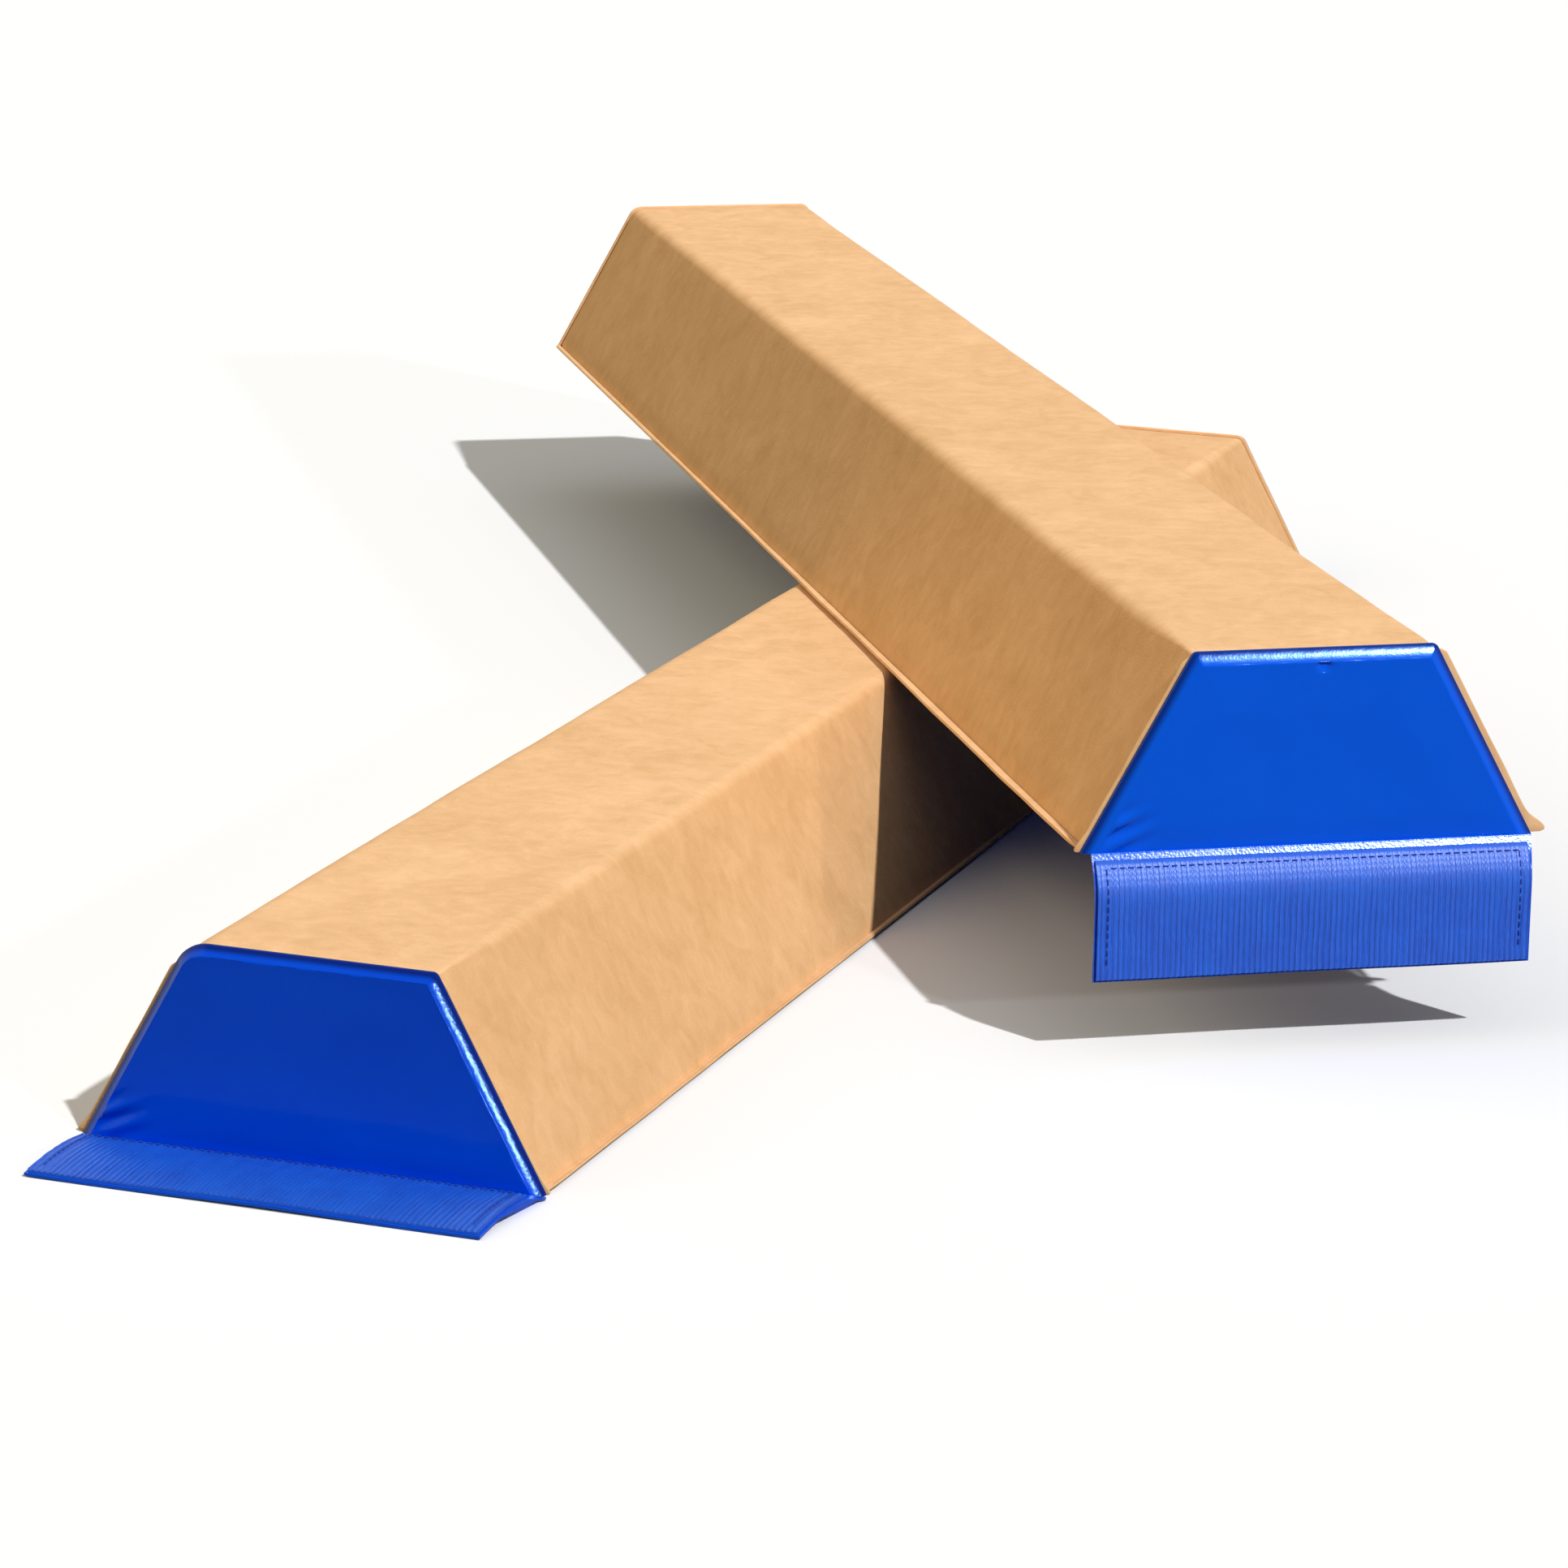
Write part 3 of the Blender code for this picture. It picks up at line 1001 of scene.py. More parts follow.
@dataclass(frozen=True)
class SuedeCover:
    """The suede over top and sides, with the seam lips at its ends and the welts along its foot."""

    bench: Bench
    figure: Figure
    seams: Seams
    rim: Rim = Rim(16, 8, 16)
    lip_rim: Rim = Rim(120, 8, 14)
    columns: int = 150
    crowding: float = 0.6
    broad_dents: Wave = Wave(0.00055, 8.0)
    small_dents: Wave = Wave(0.00016, 34.0, 3)
    end_tuck: float = 0.0010
    end_tuck_length: float = 0.0035
    foot_tuck: float = 0.0009
    foot_tuck_length: float = 0.004
    groove: float = 0.0009
    back_groove: float = 0.000225
    flare_height: float = 0.0048
    tip_height: float = 0.0034
    tip_share: float = 0.3
    corner_share: float = 0.59
    lip_over: float = 0.001
    lip_under: float = 0.006
    lip_wave: Wave = Wave(0.0003, 60.0, 11)
    lip_round: float = 0.7
    lip_shoulder: float = 0.3
    welt_span: Span = (0.35, -0.5)
    welt_taper: Span = (-0.004, 0.012)
    welt_wave: Wave = Wave(0.3, 16.0, 17)
    welt_lift: Wave = Wave(0.0004, 23.0, 19)
    welt_root: float = 0.3

    def build(self) -> None:
        """Builds and dresses the cover, both lips and both welts."""
        self.build_sheet()
        for end in End:
            self.build_lip(end)
        for hand in Hand:
            self.build_welt(hand)

    def dent(self, x: float, point: RimPoint) -> float:
        """Works out the soft dents in the suede, and its tuck at each seam.

        Args:
            x: the place along the section.
            point: the point on the section's outline.

        Returns:
            How far the suede lies inside its fullest shape.
        """
        place = (self.bench.seed, x, point.y, point.z)
        dents = self.broad_dents.raised(*place) + self.small_dents.raised(*place)
        end = self.end_tuck * math.exp(-(SIZE.cover_end - abs(x)) / self.end_tuck_length)
        foot = self.foot_tuck * math.exp(-point.from_foot / self.foot_tuck_length)
        return dents + end + foot

    def build_sheet(self) -> None:
        """Builds the suede sheet, with its columns crowded towards the ends."""
        outer: list[Loop] = []
        inner: list[Loop] = []
        widest = math.sin(self.crowding * math.pi / 2)
        for column in range(self.columns + 1):
            share = 2 * column / self.columns - 1
            x = SIZE.cover_end * math.sin(share * self.crowding * math.pi / 2) / widest
            corners = self.figure.corners(x)
            face = self.rim.points(0.0, SIZE.cover_foot, corners)
            back = self.rim.points(SIZE.suede, SIZE.cover_foot, corners)
            outer.append([Vector((x, *p.moved(-self.dent(x, p)))) for p in face])
            inner.append([Vector((x, p.y, p.z)) for p in back])
        shape = shell_skin(outer, inner)
        cover = self.bench.add("cover", shape, "suede", "suede", nodes=["suede_cover"], sharp_deg=60.0)

    def foot_share(self, point: RimPoint) -> float:
        """Returns 1 at the foot of a side, falling off to 0 over the height of the lip's flare."""
        return math.exp(-((point.from_foot / self.flare_height) ** 2))

    def lip_reach(self, end: End, point: RimPoint, corner: float) -> float:
        """Works out how far a seam lip stands out: under the surface on top, most at a front foot.

        Args:
            end: the end that the lip is at.
            point: the point on the section's outline.
            corner: the radius of the top edge over it.

        Returns:
            The distance from the section's surface.
        """
        if end is End.BACK:
            return -self.back_groove
        out = self.seams.lip_out[point.hand]
        flare = self.seams.lip_flare[point.hand]
        straight = SIZE.slant - corner * self.corner_share
        side = smooth_step(straight + self.lip_over, straight - self.lip_under, point.from_foot)
        tip = math.sqrt(math.sin(math.pi / 2 * min(point.from_foot / self.tip_height, 1.0)))
        foot = self.foot_share(point) * (self.tip_share + (1 - self.tip_share) * tip)
        wave = self.lip_wave.at(self.bench.seed, point.from_foot, point.hand.value)
        return side * (out + self.groove + wave) + foot * flare - self.groove

    def build_lip(self, end: End) -> None:
        """Builds the suede seam allowance between an end cap and the cover.

        Args:
            end: the end that it is at.
        """
        half = SIZE.lip_thick / 2
        soft = half * self.lip_round
        corners = self.figure.corners(end.value * SIZE.end)
        loops: list[Loop] = []
        for p in self.lip_rim.points(0.0, SIZE.gap, corners):
            out = self.lip_reach(end, p, corners.on(p.hand))
            level = self.foot_share(p)
            shoulder = out - self.lip_shoulder * soft
            flank = ((half, -SIZE.suede), (half, out - soft), (soft, shoulder))
            loop = []
            for x, away in (*flank, (0.0, out), *((-x, away) for x, away in reversed(flank))):
                y, z = p.moved(away)
                flat_y = p.y + p.hand.value * away
                spot = (y + (flat_y - y) * level, max(z + (p.z - z) * level, SIZE.gap))
                loop.append(Vector((end.value * (SIZE.sheet_end - half + x), *spot)))
            loops.append(loop)
        name = end.name.lower() + "_seam_lip"
        self.bench.add(name + "_edge", capped_skin(loops), "suede_edge", "suede", nodes=[name])

    def build_welt(self, hand: Hand) -> None:
        """Builds the wavy suede lip along a lower long edge.

        Args:
            hand: the side that it is on.
        """
        side = SIZE.base_width / 2
        low = SIZE.gap
        high = SIZE.gap + SIZE.welt_thick
        soft = SIZE.welt_thick / 3
        seed = self.bench.seed + hand.value
        back = self.seams.welt_back
        loops: list[Loop] = []
        for column in range(self.columns + 1):
            x = SIZE.cover_end * (2 * column / self.columns - 1)
            share = smooth_step(*self.welt_span, x)
            out = back + (self.seams.welt_front[hand] - back) * share
            out *= 1 + self.welt_wave.at(seed, x)
            out *= smooth_step(*self.welt_taper, SIZE.cover_end - abs(x))
            lift = self.welt_lift.raised(seed, x) * share
            edge = side + out
            near = side + self.welt_root * out
            upper = [(edge, (low + high) / 2 + lift), (edge - soft, high + lift), (near - soft, high)]
            section = [(side - SIZE.welt_in, low), (near - soft, low), (edge - soft, low + lift), *upper]
            section.append((side - SIZE.welt_in, high))
            loops.append([Vector((x, hand.value * y, z)) for y, z in section])
        name = hand.name.lower() + "_base_welt"
        self.bench.add(name + "_edge", capped_skin(loops), "suede", "suede", nodes=[name], sharp_deg=60.0)


@dataclass(frozen=True)
class Spot:
    """A soft oval spot on an end's face: its middle and its reach, in Y and Z."""

    y: float
    z: float
    reach_y: float
    reach_z: float

    def share(self, y: float, z: float) -> float:
        """Returns 1 in the middle of the spot, falling off to 0 round it."""
        return math.exp(-(((y - self.y) / self.reach_y) ** 2) - ((z - self.z) / self.reach_z) ** 2)


@dataclass(frozen=True)
class CapRim:
    """The pillowed rim of an end cap.

    Attributes:
        inset: how wide it is, seen from the end.
        depth: how far it falls back.
        wobble: how far it puckers along its seam.
        squareness: its shape, from 1 for a plain chamfer to 2 for a round.
    """

    inset: float
    depth: float
    wobble: float
    squareness: float = 1.15


@dataclass(frozen=True)
class EndCap:
    """A vinyl end: a pillowed rim, a crowned face with puckers, and the turned-in edge behind the rim.

    Attributes:
        bench: the section that it belongs to.
        figure: how that section is rounded.
        end: the end that it closes.
        rim: its rim.
        dimple: how deep a small dimple is pressed into the top of its face.
    """

    bench: Bench
    figure: Figure
    end: End
    rim: CapRim
    dimple: float = 0.0
    outline_rim: Rim = Rim(60, 8, 80)
    rim_steps: int = 14
    wobble_scale: float = 170.0
    rows: int = 28
    row_crowding: float = 1.3
    deepest: float = 0.93
    back_recess: float = 0.0010
    crown: float = 0.0007
    crown_depth: float = 0.02
    crown_height: float = 0.012
    crown_wave: Wave = Wave(0.3, 18.0)
    ripples: Wave = Wave(0.00022, 46.0, 7)
    ripple_top: Span = (0.05, 0.012)
    ripple_foot: Span = (0.0015, 0.008)
    ripple_stretch: float = 0.2
    puckers: float = 0.0013
    pucker_spot: Spot = Spot(0.080, 0.010, 0.010, 0.008)
    pucker_lean: float = 0.5
    pucker_pitch: float = 0.0085
    dimple_spot: Spot = Spot(-0.003, SIZE.height - 0.0064, 0.0024, 0.0017)

    def outline(self, inset: float, foot: float) -> list[RimPoint]:
        """Returns a nested outline of the cap, a little smaller all round at the back end."""
        recess = self.back_recess if self.end is End.BACK else 0.0
        return self.outline_rim.points(inset + recess, foot, self.figure.corners(self.end.value * SIZE.end))

    def relief(self, y: float, z: float, depth: float) -> float:
        """Works out the crown, ripples, puckers and dimple of the face.

        Args:
            y: the place across the face.
            z: its height.
            depth: how far in from the rim it is.

        Returns:
            How far the vinyl stands out of its flat face there.
        """
        seed = self.bench.seed + self.end.value
        held = smooth_step(0.0, self.crown_depth, depth) * smooth_step(0.0, self.crown_height, z)
        swell = 1 - self.crown_wave.height + self.crown_wave.at(seed, y, z)
        low = smooth_step(*self.ripple_top, z) * smooth_step(*self.ripple_foot, z)
        upright = self.ripples.at(seed, y, self.ripple_stretch * z)
        fold = math.sin(math.tau * (z + self.pucker_lean * y) / self.pucker_pitch)
        pucker = self.puckers * self.pucker_spot.share(y, z) * fold
        dip = self.dimple * self.dimple_spot.share(y, z)
        return self.crown * held * swell + low * upright + pucker - dip

    def rim_loops(self) -> list[Loop]:
        """Works out the turned-in edge and the rim.

        Returns:
            The loops, from the inside round to the face.
        """
        foot = SIZE.gap
        places = [
            (SIZE.end - SIZE.vinyl, self.rim.inset, foot + SIZE.vinyl),
            (SIZE.end - SIZE.cap_depth, SIZE.vinyl, foot + SIZE.vinyl),
            (SIZE.end - SIZE.cap_depth, 0.0, foot),
        ]
        power = 2 / self.rim.squareness
        for step in range(self.rim_steps + 1):
            turn = math.pi / 2 * step / self.rim_steps
            depth = self.rim.depth * (1 - math.sin(turn) ** power)
            inset = self.rim.inset * (1 - max(math.cos(turn), 0.0) ** power)
            places.append((SIZE.end - depth, inset, foot))
        loops: list[Loop] = []
        for x, inset, low in places:
            wobble = Wave(self.rim.wobble if inset < self.rim.inset else 0.0, self.wobble_scale)
            loop = []
            for p in self.outline(inset, low):
                push = wobble.at(self.bench.seed, p.y, p.z) - wobble.height
                loop.append(Vector((self.end.value * (x + push), *p.moved(push))))
            loops.append(loop)
        return loops

    def face_loops(self) -> list[Loop]:
        """Works out the face inside the rim.

        Returns:
            The nested loops, from the rim to the middle.
        """
        span = SIZE.height * self.deepest - self.rim.inset
        loops: list[Loop] = []
        for row in range(1, self.rows + 1):
            depth = span * (row / self.rows) ** self.row_crowding
            loop = []
            for p in self.outline(self.rim.inset + depth, SIZE.gap):
                x = SIZE.end + self.relief(p.y, p.z, depth)
                loop.append(Vector((self.end.value * x, p.y, p.z)))
            loops.append(loop)
        return loops

    def build(self) -> None:
        """Builds and dresses the cap."""
        shape = capped_skin(self.rim_loops() + self.face_loops())
        name = self.end.name.lower() + "_end_cap"
        cap = self.bench.add(name + "_skin", shape, "cap", "vinyl", nodes=[name], sharp_deg=50.0)


@dataclass(frozen=True)
class FoamCore:
    """The two glued foam planks inside the cover."""

    bench: Bench
    figure: Figure
    rim: Rim = Rim(6, 6, 8)
    columns: int = 24
    soft_edge: float = 0.0004

    def build(self) -> None:
        """Builds and dresses both planks, the upper one clear of the dents in the suede."""
        base = self.bench.softened("foam_base_layer", "foam", "foam", self.soft_edge)
        full = SIZE.suede + SIZE.gap
        small = SIZE.cap_round + SIZE.gap
        clearance = 2 * SIZE.suede / 3
        reach = SIZE.sheet_end - SIZE.gap
        places = [(reach * (2 * c / self.columns - 1), full) for c in range(self.columns + 1)]
        tip = SIZE.end - SIZE.vinyl - 2 * SIZE.gap
        places = [(-tip, small), (-SIZE.sheet_end, small), *places, (SIZE.sheet_end, small), (tip, small)]
        loops: list[Loop] = []
        for x, inset in places:
            corners = self.figure.corners(x)
            outline = self.rim.points(inset + clearance, SIZE.layer_split + SIZE.gap, corners)
            loops.append([Vector((x, p.y, p.z)) for p in outline])
        shape = capped_skin(loops)
        node = "foam_top_layer"
        top = self.bench.add("foam_top_plank", shape, "foam", "foam", nodes=[node], sharp_deg=50.0)


@dataclass(frozen=True)
class ZippedBase:
    """The vinyl underside: panels, zip, stitching beside the zip and the loop tape let in at the back."""

    bench: Bench
    sheet_edge: float = 0.0004
    tape_edge: float = 0.0002
    thread: Thread = Thread(0.00022)
    stitch_pitch: float = 0.0040
    stitch_length: float = 0.0029
    stitch_from_slot: float = 0.0022
    tooth_pitch: float = 0.0022
    tooth_width: float = 0.84
    tooth_reach: float = 0.55
    tooth_shares: tuple[float, float, float] = (0.8, 1.0, 0.7)

    def build(self) -> None:
        """Builds and dresses every piece of the underside."""
        for name in ("base_panel", "base_strip"):
            sheet = self.bench.softened(name, "vinyl", "vinyl", self.sheet_edge)
        self.bench.softened("loop_tape", "loop", "loop_tape", self.tape_edge)
        for tape in ("zip_tape_inner", "zip_tape_outer"):
            self.bench.softened(tape, "zip_tape", "zip_tape", self.tape_edge)
        for metal in ("zip_slider", "zip_pull"):
            self.bench.softened(metal, "enamel", "zip_metal", self.tape_edge, metal)
        self.build_stitching()
        self.build_chain()

    def build_stitching(self) -> None:
        """Builds the two stitch lines that hold the zip."""
        shape = bmesh.new()
        first = SIZE.zip_back_margin - SIZE.end
        level = self.thread.radius / 3
        stitch = Vector((self.stitch_length, 0.0, 0.0))
        for side in Hand:
            y = SIZE.zip_y + side.value * (SIZE.zip_slot_half + self.stitch_from_slot)
            for step in range(int((SIZE.length - 2 * SIZE.zip_back_margin) / self.stitch_pitch)):
                start = Vector((first + step * self.stitch_pitch, y, level))
                self.thread.add_stitch(shape, start, start + stitch, -UP)
        self.bench.add("zip_stitching", shape, "thread", "zip_tape")

    def build_chain(self) -> None:
        """Builds the closed zip chain, tooth by tooth, from alternate sides."""
        shape = bmesh.new()
        middle_z = SIZE.vinyl + SIZE.gap + SIZE.chain_thick / 2
        front = -SIZE.sheet_end
        half = self.tooth_pitch * self.tooth_width / 2
        reach = SIZE.chain_half * self.tooth_reach
        for step in range(int((SIZE.end - SIZE.zip_back_margin - front) / self.tooth_pitch)):
            x = front + (step + 0.5) * self.tooth_pitch
            side = 1 if step % 2 else -1
            loops = []
            for out, share in zip((SIZE.chain_half, reach, -reach), self.tooth_shares):
                tall = SIZE.chain_thick / 2 * share
                corners = [(-half * share, -tall / 2), (0.0, -tall), (half * share, -tall / 2)]
                corners += [(-a, -b) for a, b in corners]
                loops.append([Vector((x + a, SIZE.zip_y + side * out, middle_z + b)) for a, b in corners])
            add_capped(shape, loops)
        self.bench.add("zip_chain_teeth", shape, "coil", "zip_coil", nodes=["zip_chain"], sharp_deg=30.0)


@dataclass(frozen=True)
class FlapLay:
    """How one section's flap lies.

    Attributes:
        held: how it is held.
        belly: how far a hanging flap stands out below its fold, or a lying one arches.
        corner_out: how far the fold sticks out at the right corner.
        hook_start: how far from its root the hook tape starts.
        pressed: how far from the root the ribs of its tape are pressed flat.
        stitch_root: how far from the root the stitches start.
    """

    held: Held
    belly: float
    corner_out: float
    hook_start: float
    pressed: float
    stitch_root: float


@dataclass(frozen=True)
class JoiningFlap:
    """The vinyl flap at the front foot, with a rolled fold, ribbed hook tape and the stitches in it."""

    bench: Bench
    lay: FlapLay
    columns: int = 60
    fold_steps: int = 10
    free_steps: int = 14
    fold_slope: float = 0.62
    fold_length: float = 0.0020
    belly_from: float = 0.004
    corner_length: float = 0.006
    sway: float = 0.0007
    sway_length: float = 0.13
    arch_wave: float = 0.25
    folded_share: float = 0.3
    rib_pitch: float = 0.0024
    rib_steps: int = 6
    rib_depth: float = 0.00065
    rib_sway: Wave = Wave(0.0004, 90.0)
    rib_rough: Wave = Wave(0.25, 420.0, 2)
    pressed_from: float = 0.25
    pressed_share: float = 0.3
    tape_rows: int = 24
    thread: Thread = Thread(0.00032)
    stitch_pitch: float = 0.0036
    stitch_length: float = 0.0027
    stitch_side: float = 0.0052
    stitch_tip: float = 0.004

    @property
    def hinge(self) -> Matrix:
        """The matrix from the flap's own frame, with the flap running to -X, to the section's frame."""
        half = SIZE.vinyl / 2
        turn = -math.pi / 2 if self.lay.held is Held.HUNG else 0.0
        root = Matrix.Translation((-SIZE.end - SIZE.gap - half, 0.0, SIZE.gap + half))
        return root @ Matrix.Rotation(turn, 4, "Y")

    def bend(self, along: float, y: float) -> float:
        """Works out the flap's fold and belly, or its arch where it lies.

        Args:
            along: the distance from the root.
            y: the place across the flap.

        Returns:
            How far the flap stands out of its plane there, towards its hook side.
        """
        share = min(max(along / SIZE.flap_length, 0.0), 1.0)
        wave = 0.5 + 0.5 * math.sin(math.tau * y / self.sway_length + self.bench.seed)
        sway = self.sway * share * share * wave
        if self.lay.held is Held.LAID:
            arch = 1 - self.arch_wave + self.arch_wave * wave
            return self.lay.belly * math.sin(math.pi * share) * arch + sway
        turn = 2 * self.lay.belly / self.fold_slope - 2 * self.belly_from
        past = min(max((along - self.belly_from) / turn, 0.0), 1.0)
        level = turn * (past**3 - past**4 / 2) + max(along - self.belly_from - turn, 0.0)
        return self.fold_slope * (max(along, 0.0) - level) + sway

    def point(self, along: float, y: float, rise: float) -> Vector:
        """Returns a point on the bent flap in the section's frame."""
        return self.hinge @ Vector((-along, y, rise + self.bend(along, y)))

    def sheet_point(self, along: float, side: float, rise: float) -> Vector:
        """Works out a point on the vinyl, which is wider at the fold's right corner.

        Args:
            along: the distance from the root.
            side: the place across the flap, from -1 to 1.
            rise: the height over the flap's middle plane.

        Returns:
            The point in the section's frame.
        """
        corner = self.lay.corner_out * math.exp(-((max(along, 0.0) / self.corner_length) ** 2))
        return self.point(along, side * (SIZE.flap_half_width + (corner if side < 0 else 0.0)), rise)

    def build(self) -> None:
        """Builds and dresses the flap, its tape and its stitches."""
        half = SIZE.vinyl / 2
        free = SIZE.flap_length - self.lay.hook_start
        alongs = [self.fold_length * step / self.fold_steps for step in range(self.fold_steps + 1)]
        alongs += [self.lay.hook_start + free * step / self.free_steps for step in range(self.free_steps + 1)]
        loops: list[Loop] = []
        for column in range(self.columns + 1):
            side = 2 * column / self.columns - 1
            loop = [self.sheet_point(along, side, half) for along in alongs]
            loop += [self.sheet_point(along, side, -half) for along in reversed(alongs)]
            for turn in (-math.pi / 4, 0.0, math.pi / 4):
                loop.append(self.sheet_point(-half * math.cos(turn), side, half * math.sin(turn)))
            loops.append(loop)
        flap = self.bench.add("flap_sheet", capped_skin(loops), "vinyl", "vinyl", "flap", ["flap"], 60.0)
        pieces = [self.build_tape(), self.build_stitches()]
        if self.lay.held is Held.HUNG:
            for piece in (flap, *pieces):
                self.flatten(piece)

    def flatten(self, piece: Piece) -> None:
        """Gives a piece of a hanging flap a mesh of its own.

        Args:
            piece: the piece of the flap.
        """
        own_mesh(piece)

    def tape_top(self, along: float, y: float) -> float:
        """Works out the ribbed face of the hook tape.

        Args:
            along: the distance from the flap's root.
            y: the place across the flap.

        Returns:
            Its height over the flap's middle plane there.
        """
        bent = y + self.rib_sway.at(self.bench.seed, along, y)
        rib = 0.5 - 0.5 * math.cos(math.tau * bent / self.rib_pitch)
        rough = self.rib_rough.height - self.rib_rough.at(self.bench.seed, along, y)
        loose = smooth_step(self.pressed_from * self.lay.pressed, self.lay.pressed, along)
        deep = self.rib_depth * (self.pressed_share + (1 - self.pressed_share) * loose)
        return SIZE.vinyl / 2 + SIZE.gap + SIZE.hook_thick - deep * (rib + rough)

    def build_tape(self) -> Piece:
        """Builds the hook tape with its ribs.

        Returns:
            The tape.
        """
        reach = SIZE.flap_half_width - SIZE.hook_margin
        columns = int(2 * reach / self.rib_pitch * self.rib_steps)
        length = SIZE.flap_length - SIZE.hook_margin - self.lay.hook_start
        alongs = [self.lay.hook_start + length * row / self.tape_rows for row in range(self.tape_rows + 1)]
        outer: list[Loop] = []
        inner: list[Loop] = []
        for column in range(columns + 1):
            y = reach * (2 * column / columns - 1)
            outer.append([self.point(along, y, self.tape_top(along, y)) for along in alongs])
            inner.append([self.point(along, y, SIZE.vinyl / 2 + SIZE.gap / 3) for along in alongs])
        shape = shell_skin(outer, inner)
        return self.bench.add("hook_tape", shape, "hook", "hook_tape", "flap", ["flap_hook_tape"], 70.0)

    def build_stitches(self) -> Piece:
        """Builds the stitch lines along the flap's root and both short sides.

        Returns:
            All stitches as one piece.
        """
        side = SIZE.flap_half_width - self.stitch_side
        root = self.lay.stitch_root
        tip = SIZE.flap_length - self.stitch_tip
        spans: list[tuple[float, float, float, float]] = []
        for step in range(int(2 * side / self.stitch_pitch)):
            y = step * self.stitch_pitch - side
            spans.append((root, y, root, y + self.stitch_length))
        for step in range(int((tip - root) / self.stitch_pitch)):
            along = root + step * self.stitch_pitch
            spans += [(along, y, along + self.stitch_length, y) for y in (-side, side)]
        shape = bmesh.new()
        up = self.hinge.to_3x3() @ UP
        rise = SIZE.vinyl / 2 + SIZE.gap + SIZE.hook_thick
        for along, y, far_along, far_y in spans:
            start = self.point(along, y, rise)
            self.thread.add_stitch(shape, start, self.point(far_along, far_y, rise), up)
        return self.bench.add("flap_stitches", shape, "thread", "hook_tape", "flap")


def section_place(frame: dict, prefix: str) -> Matrix:
    """Works out where a section is, from its flap hinge and the way its zip slider runs.

    Args:
        frame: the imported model.
        prefix: the start of the section's names.

    Returns:
        The matrix from the section's frame to the row frame.
    """
    joints = {joint["name"]: joint for joint in frame["joints"]}
    along = Vector(joints[prefix + "zip_slide"]["axis"]).normalized()
    root = Vector(joints[prefix + "flap_hinge"]["pos_m"])
    offset = SIZE.gap + SIZE.vinyl / 2
    origin = root + along * (SIZE.end + offset) - UP * offset
    return Matrix.Translation(origin) @ Matrix((along, UP.cross(along), UP)).transposed().to_4x4()


@dataclass(frozen=True)
class BeamSection:
    """One section of the beam, and what sets it apart from the other one.

    Attributes:
        prefix: the start of its node and body names.
        seed: the start of its noise.
        pattern_offset: how far the patterns of its materials are shifted.
        own_finishes: its own finishes, beside the shared ones.
        figure: how it is rounded.
        seams: how far its sewn edges stand out.
        front_rim: the rim of its front end.
        flap: how its flap lies.
        dimple: how deep a small dimple is pressed into its front end.
        back_rim: the rim of its back end.
    """

    prefix: str
    seed: float
    pattern_offset: Place
    own_finishes: dict[str, Finish]
    figure: Figure
    seams: Seams
    front_rim: CapRim
    flap: FlapLay
    dimple: float = 0.0
    back_rim: CapRim = CapRim(inset=0.0040, depth=0.0030, wobble=0.00005)

    def build(self, frame: dict, groups: SurfaceGroups) -> None:
        """Makes the materials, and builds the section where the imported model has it, from foam to flap.

        Args:
            frame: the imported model.
            groups: the node groups that make the surface patterns.
        """
        finishes = SHARED_FINISHES | self.own_finishes
        materials = {name: finish.material(groups, self.pattern_offset) for name, finish in finishes.items()}
        place = section_place(frame, self.prefix)
        bench = Bench(self.prefix, place, materials, frame["nodes"], self.seed)
        FoamCore(bench, self.figure).build()
        SuedeCover(bench, self.figure, self.seams).build()
        EndCap(bench, self.figure, End.FRONT, self.front_rim, self.dimple).build()
        EndCap(bench, self.figure, End.BACK, self.back_rim).build()
        ZippedBase(bench).build()
        JoiningFlap(bench, self.flap).build()


LOWER_SECTION = BeamSection(
    prefix="lower_",
    seed=1.7,
    pattern_offset=(0.0, 0.0, 0.0),
    own_finishes={"cap": SHADED_LOWER_CAP_BLUE, "hook": DIMMED_LOWER_HOOK_BLUE},
    figure=Figure(Corners(0.014, 0.003), Corners(0.012, 0.009), Corners(0.006, 0.006)),
    seams=Seams(
        lip_out={Hand.LEFT: 0.0018, Hand.RIGHT: 0.0003},
        lip_flare={Hand.LEFT: 0.0024, Hand.RIGHT: 0.0012},
        welt_front={Hand.LEFT: 0.0016, Hand.RIGHT: 0.0006},
    ),
    front_rim=CapRim(inset=0.0036, depth=0.0034, wobble=0.000014, squareness=1.04),
    flap=FlapLay(
        Held.LAID, belly=0.0022, corner_out=0.0050, hook_start=0.0045, pressed=0.002, stitch_root=0.0058
    ),
)
UPPER_SECTION = BeamSection(
    prefix="upper_",
    seed=4.3,
    pattern_offset=(3.1, 1.7, 0.6),
    own_finishes={"cap": LIT_UPPER_CAP_BLUE, "hook": BRIGHTENED_UPPER_HOOK_BLUE},
    figure=Figure(Corners(0.003, 0.0025), Corners(0.009, 0.008), Corners(0.008, 0.006)),
    seams=Seams(
        lip_out={Hand.LEFT: 0.0014, Hand.RIGHT: 0.0030},
        lip_flare={Hand.LEFT: 0.0016, Hand.RIGHT: 0.0058},
        welt_front={Hand.LEFT: 0.0018, Hand.RIGHT: 0.0014},
    ),
    front_rim=CapRim(inset=0.0050, depth=0.0031, wobble=0.00001, squareness=1.07),
    flap=FlapLay(
        Held.HUNG, belly=0.0075, corner_out=0.0015, hook_start=0.0022, pressed=0.030, stitch_root=0.0048
    ),
    dimple=0.0021,
)


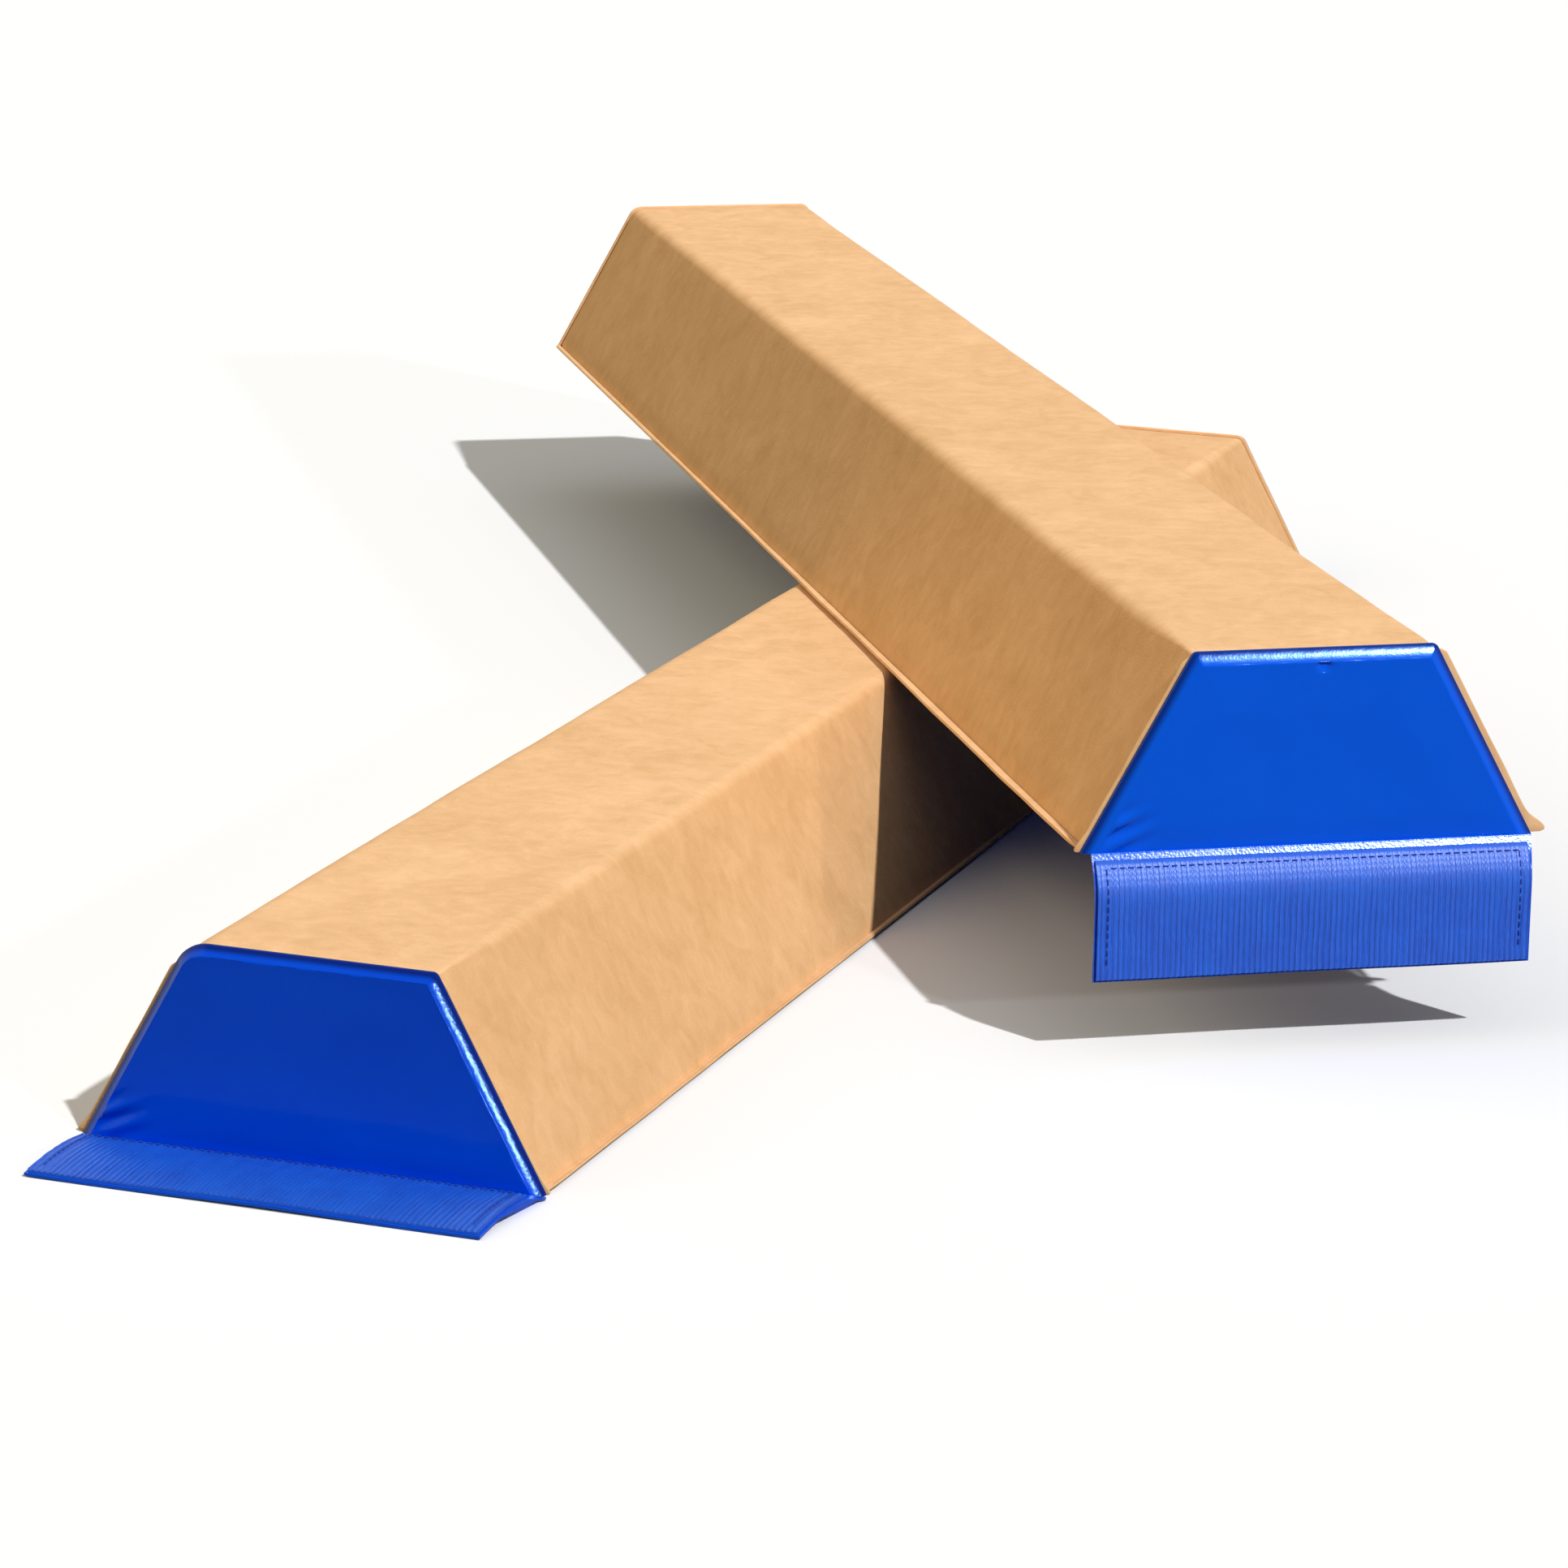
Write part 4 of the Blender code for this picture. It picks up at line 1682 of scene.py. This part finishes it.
@dataclass(frozen=True)
class Lamp:
    """A far lamp: where it stands, turned from +X towards +Y and up, how strong, wide and tinted it is."""

    name: str
    heading_deg: float
    height_deg: float
    strength: float
    softness_deg: float
    colour: Colour = (1.0, 1.0, 1.0)


@dataclass(frozen=True)
class Studio:
    """The photograph's camera, plain light and a pale floor.

    Attributes:
        camera_place: the camera in the row frame.
        heading_deg: where it looks, turned from +X towards +Y.
        pitch_deg: how far it looks up.
        roll_deg: how far it leans.
        focal_px: its focal length in pixels of the photograph.
        photo_px: the photograph's width in pixels.
        sensor_mm: the width of its sensor.
        sight: how far it sees.
        lamps: the key light from the right, a small lamp under it and the soft fill from the left.
        lamp_distance: how far off they are drawn, which their light doesn't depend on.
        sky_from: the height from which the soft sky shines, as a share of the way up.
        sky_high: its strength overhead.
        sky_colour: its colour.
        floor_half: half the floor's width.
        floor_colour: the floor as it is seen.
        floor_bounce: the floor as it lights the object.
    """

    camera_place: Place = (-2.4774, -0.8768, 0.7094)
    heading_deg: float = 19.73
    pitch_deg: float = -14.82
    roll_deg: float = 1.07
    focal_px: float = 7274.0
    photo_px: float = 1932.0
    sensor_mm: float = 36.0
    sight: float = 200.0
    lamps: tuple[Lamp, ...] = (
        Lamp("key_light", 243.2, 45.8, 2.72, 1.5),
        Lamp("low_key", 236.5, 19.0, 0.42, 2.2),
        Lamp("left_fill", 108.0, 24.0, 1.21, 70.0, (1.0, 0.88, 0.57)),
    )
    lamp_distance: float = 3.0
    sky_from: float = 0.42
    sky_high: float = 0.50
    sky_colour: Colour = (0.97, 0.98, 1.0)
    floor_half: float = 30.0
    floor_colour: Colour = (0.97, 0.98, 1.0)
    floor_bounce: Colour = (0.045, 0.045, 0.045)

    def build(self) -> None:
        """Sets up the view, the camera, the lights and the floor."""
        bpy.context.scene.view_settings.view_transform = "Standard"
        self.build_camera()
        for lamp in self.lamps:
            self.build_lamp(lamp)
        self.build_sky()
        self.build_floor()

    @staticmethod
    def direction(heading_deg: float, height_deg: float) -> Vector:
        """Works out a direction.

        Args:
            heading_deg: where it points, turned from +X towards +Y.
            height_deg: how far it points up.

        Returns:
            The direction, of length 1.
        """
        heading = math.radians(heading_deg)
        height = math.radians(height_deg)
        level = math.cos(height)
        return Vector((math.cos(heading) * level, math.sin(heading) * level, math.sin(height)))

    @staticmethod
    def seen(kit: Tree) -> Socket:
        """Tells looking from lighting.

        Args:
            kit: the tree to add to.

        Returns:
            1 where the camera, a mirror or something clear looks at a surface, and 0 where it lights others.
        """
        path = kit.add("ShaderNodeLightPath").outputs
        direct = kit.maths("MAXIMUM", path["Is Camera Ray"], path["Is Glossy Ray"])
        return kit.maths("MAXIMUM", direct, path["Is Transmission Ray"])

    def build_camera(self) -> None:
        """Adds the camera at the photograph's viewing angle."""
        look = self.direction(self.heading_deg, self.pitch_deg)
        right = look.cross(UP).normalized()
        lean = Matrix.Rotation(-math.radians(self.roll_deg), 3, look)
        axes = Matrix((lean @ right, lean @ right.cross(look), -look)).transposed()
        data = bpy.data.cameras.new("photo_camera")
        data.sensor_width = self.sensor_mm
        data.lens = self.focal_px / self.photo_px * self.sensor_mm
        data.clip_end = self.sight
        camera = bpy.data.objects.new("photo_camera", data)
        camera.matrix_world = Matrix.Translation(self.camera_place) @ axes.to_4x4()
        bpy.context.scene.collection.objects.link(camera)
        bpy.context.scene.camera = camera

    def build_lamp(self, lamp: Lamp) -> None:
        """Adds a lamp that shines on the whole scene from one side.

        Args:
            lamp: the lamp.
        """
        source = self.direction(lamp.heading_deg, lamp.height_deg)
        data = bpy.data.lights.new(lamp.name, "SUN")
        data.energy = lamp.strength
        data.color = lamp.colour
        data.angle = math.radians(lamp.softness_deg)
        made = bpy.data.objects.new(lamp.name, data)
        made.rotation_mode = "QUATERNION"
        made.rotation_quaternion = source.to_track_quat("Z", "Y")
        made.location = source * self.lamp_distance
        bpy.context.scene.collection.objects.link(made)

    def build_sky(self) -> None:
        """Adds a soft sky, brightest overhead, that is plain white to the camera and in reflections."""
        world = bpy.data.worlds.new("studio_sky")
        world.use_nodes = True
        bpy.context.scene.world = world
        kit = Tree(world.node_tree)
        soft = world.node_tree.nodes["Background"]
        soft.inputs["Color"].default_value = (*self.sky_colour, 1.0)
        up = kit.axis(kit.coordinate("Generated"), "Z")
        kit.join(kit.spread(up, (self.sky_from, 1.0), 0.0, self.sky_high), soft.inputs["Strength"])
        white = kit.add("ShaderNodeBackground", {"Color": (1.0, 1.0, 1.0, 1.0), "Strength": 1.0})
        both = kit.add("ShaderNodeMixShader", {0: self.seen(kit), 1: soft.outputs[0], 2: white.outputs[0]})
        kit.join(both.outputs[0], world.node_tree.nodes["World Output"].inputs["Surface"])

    def build_floor(self) -> None:
        """Adds the pale floor that takes the object's shadow."""
        half = self.floor_half
        mesh = bpy.data.meshes.new("pale_floor")
        corners = [(-half, -half, 0.0), (half, -half, 0.0), (half, half, 0.0), (-half, half, 0.0)]
        mesh.from_pydata(corners, [], [(0, 1, 2, 3)])
        material = bpy.data.materials.new("pale_floor")
        material.use_nodes = True
        kit = Tree(material.node_tree)
        shader = material.node_tree.nodes["Principled BSDF"].inputs
        shader["Roughness"].default_value = 1.0
        shader["Specular IOR Level"].default_value = 0.0
        tone = kit.mix(self.seen(kit), (*self.floor_bounce, 1.0), (*self.floor_colour, 1.0))
        kit.join(tone, shader["Base Color"])
        mesh.materials.append(material)
        floor = bpy.data.objects.new("pale_floor", mesh)
        bpy.context.scene.collection.objects.link(floor)


def main() -> None:
    """Builds the studio and both sections."""
    logging.basicConfig(level=logging.INFO, format="%(message)s")
    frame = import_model()
    Studio().build()
    groups = SurfaceGroups()
    for section in (LOWER_SECTION, UPPER_SECTION):
        section.build(frame, groups)


if __name__ == "__main__":
    main()
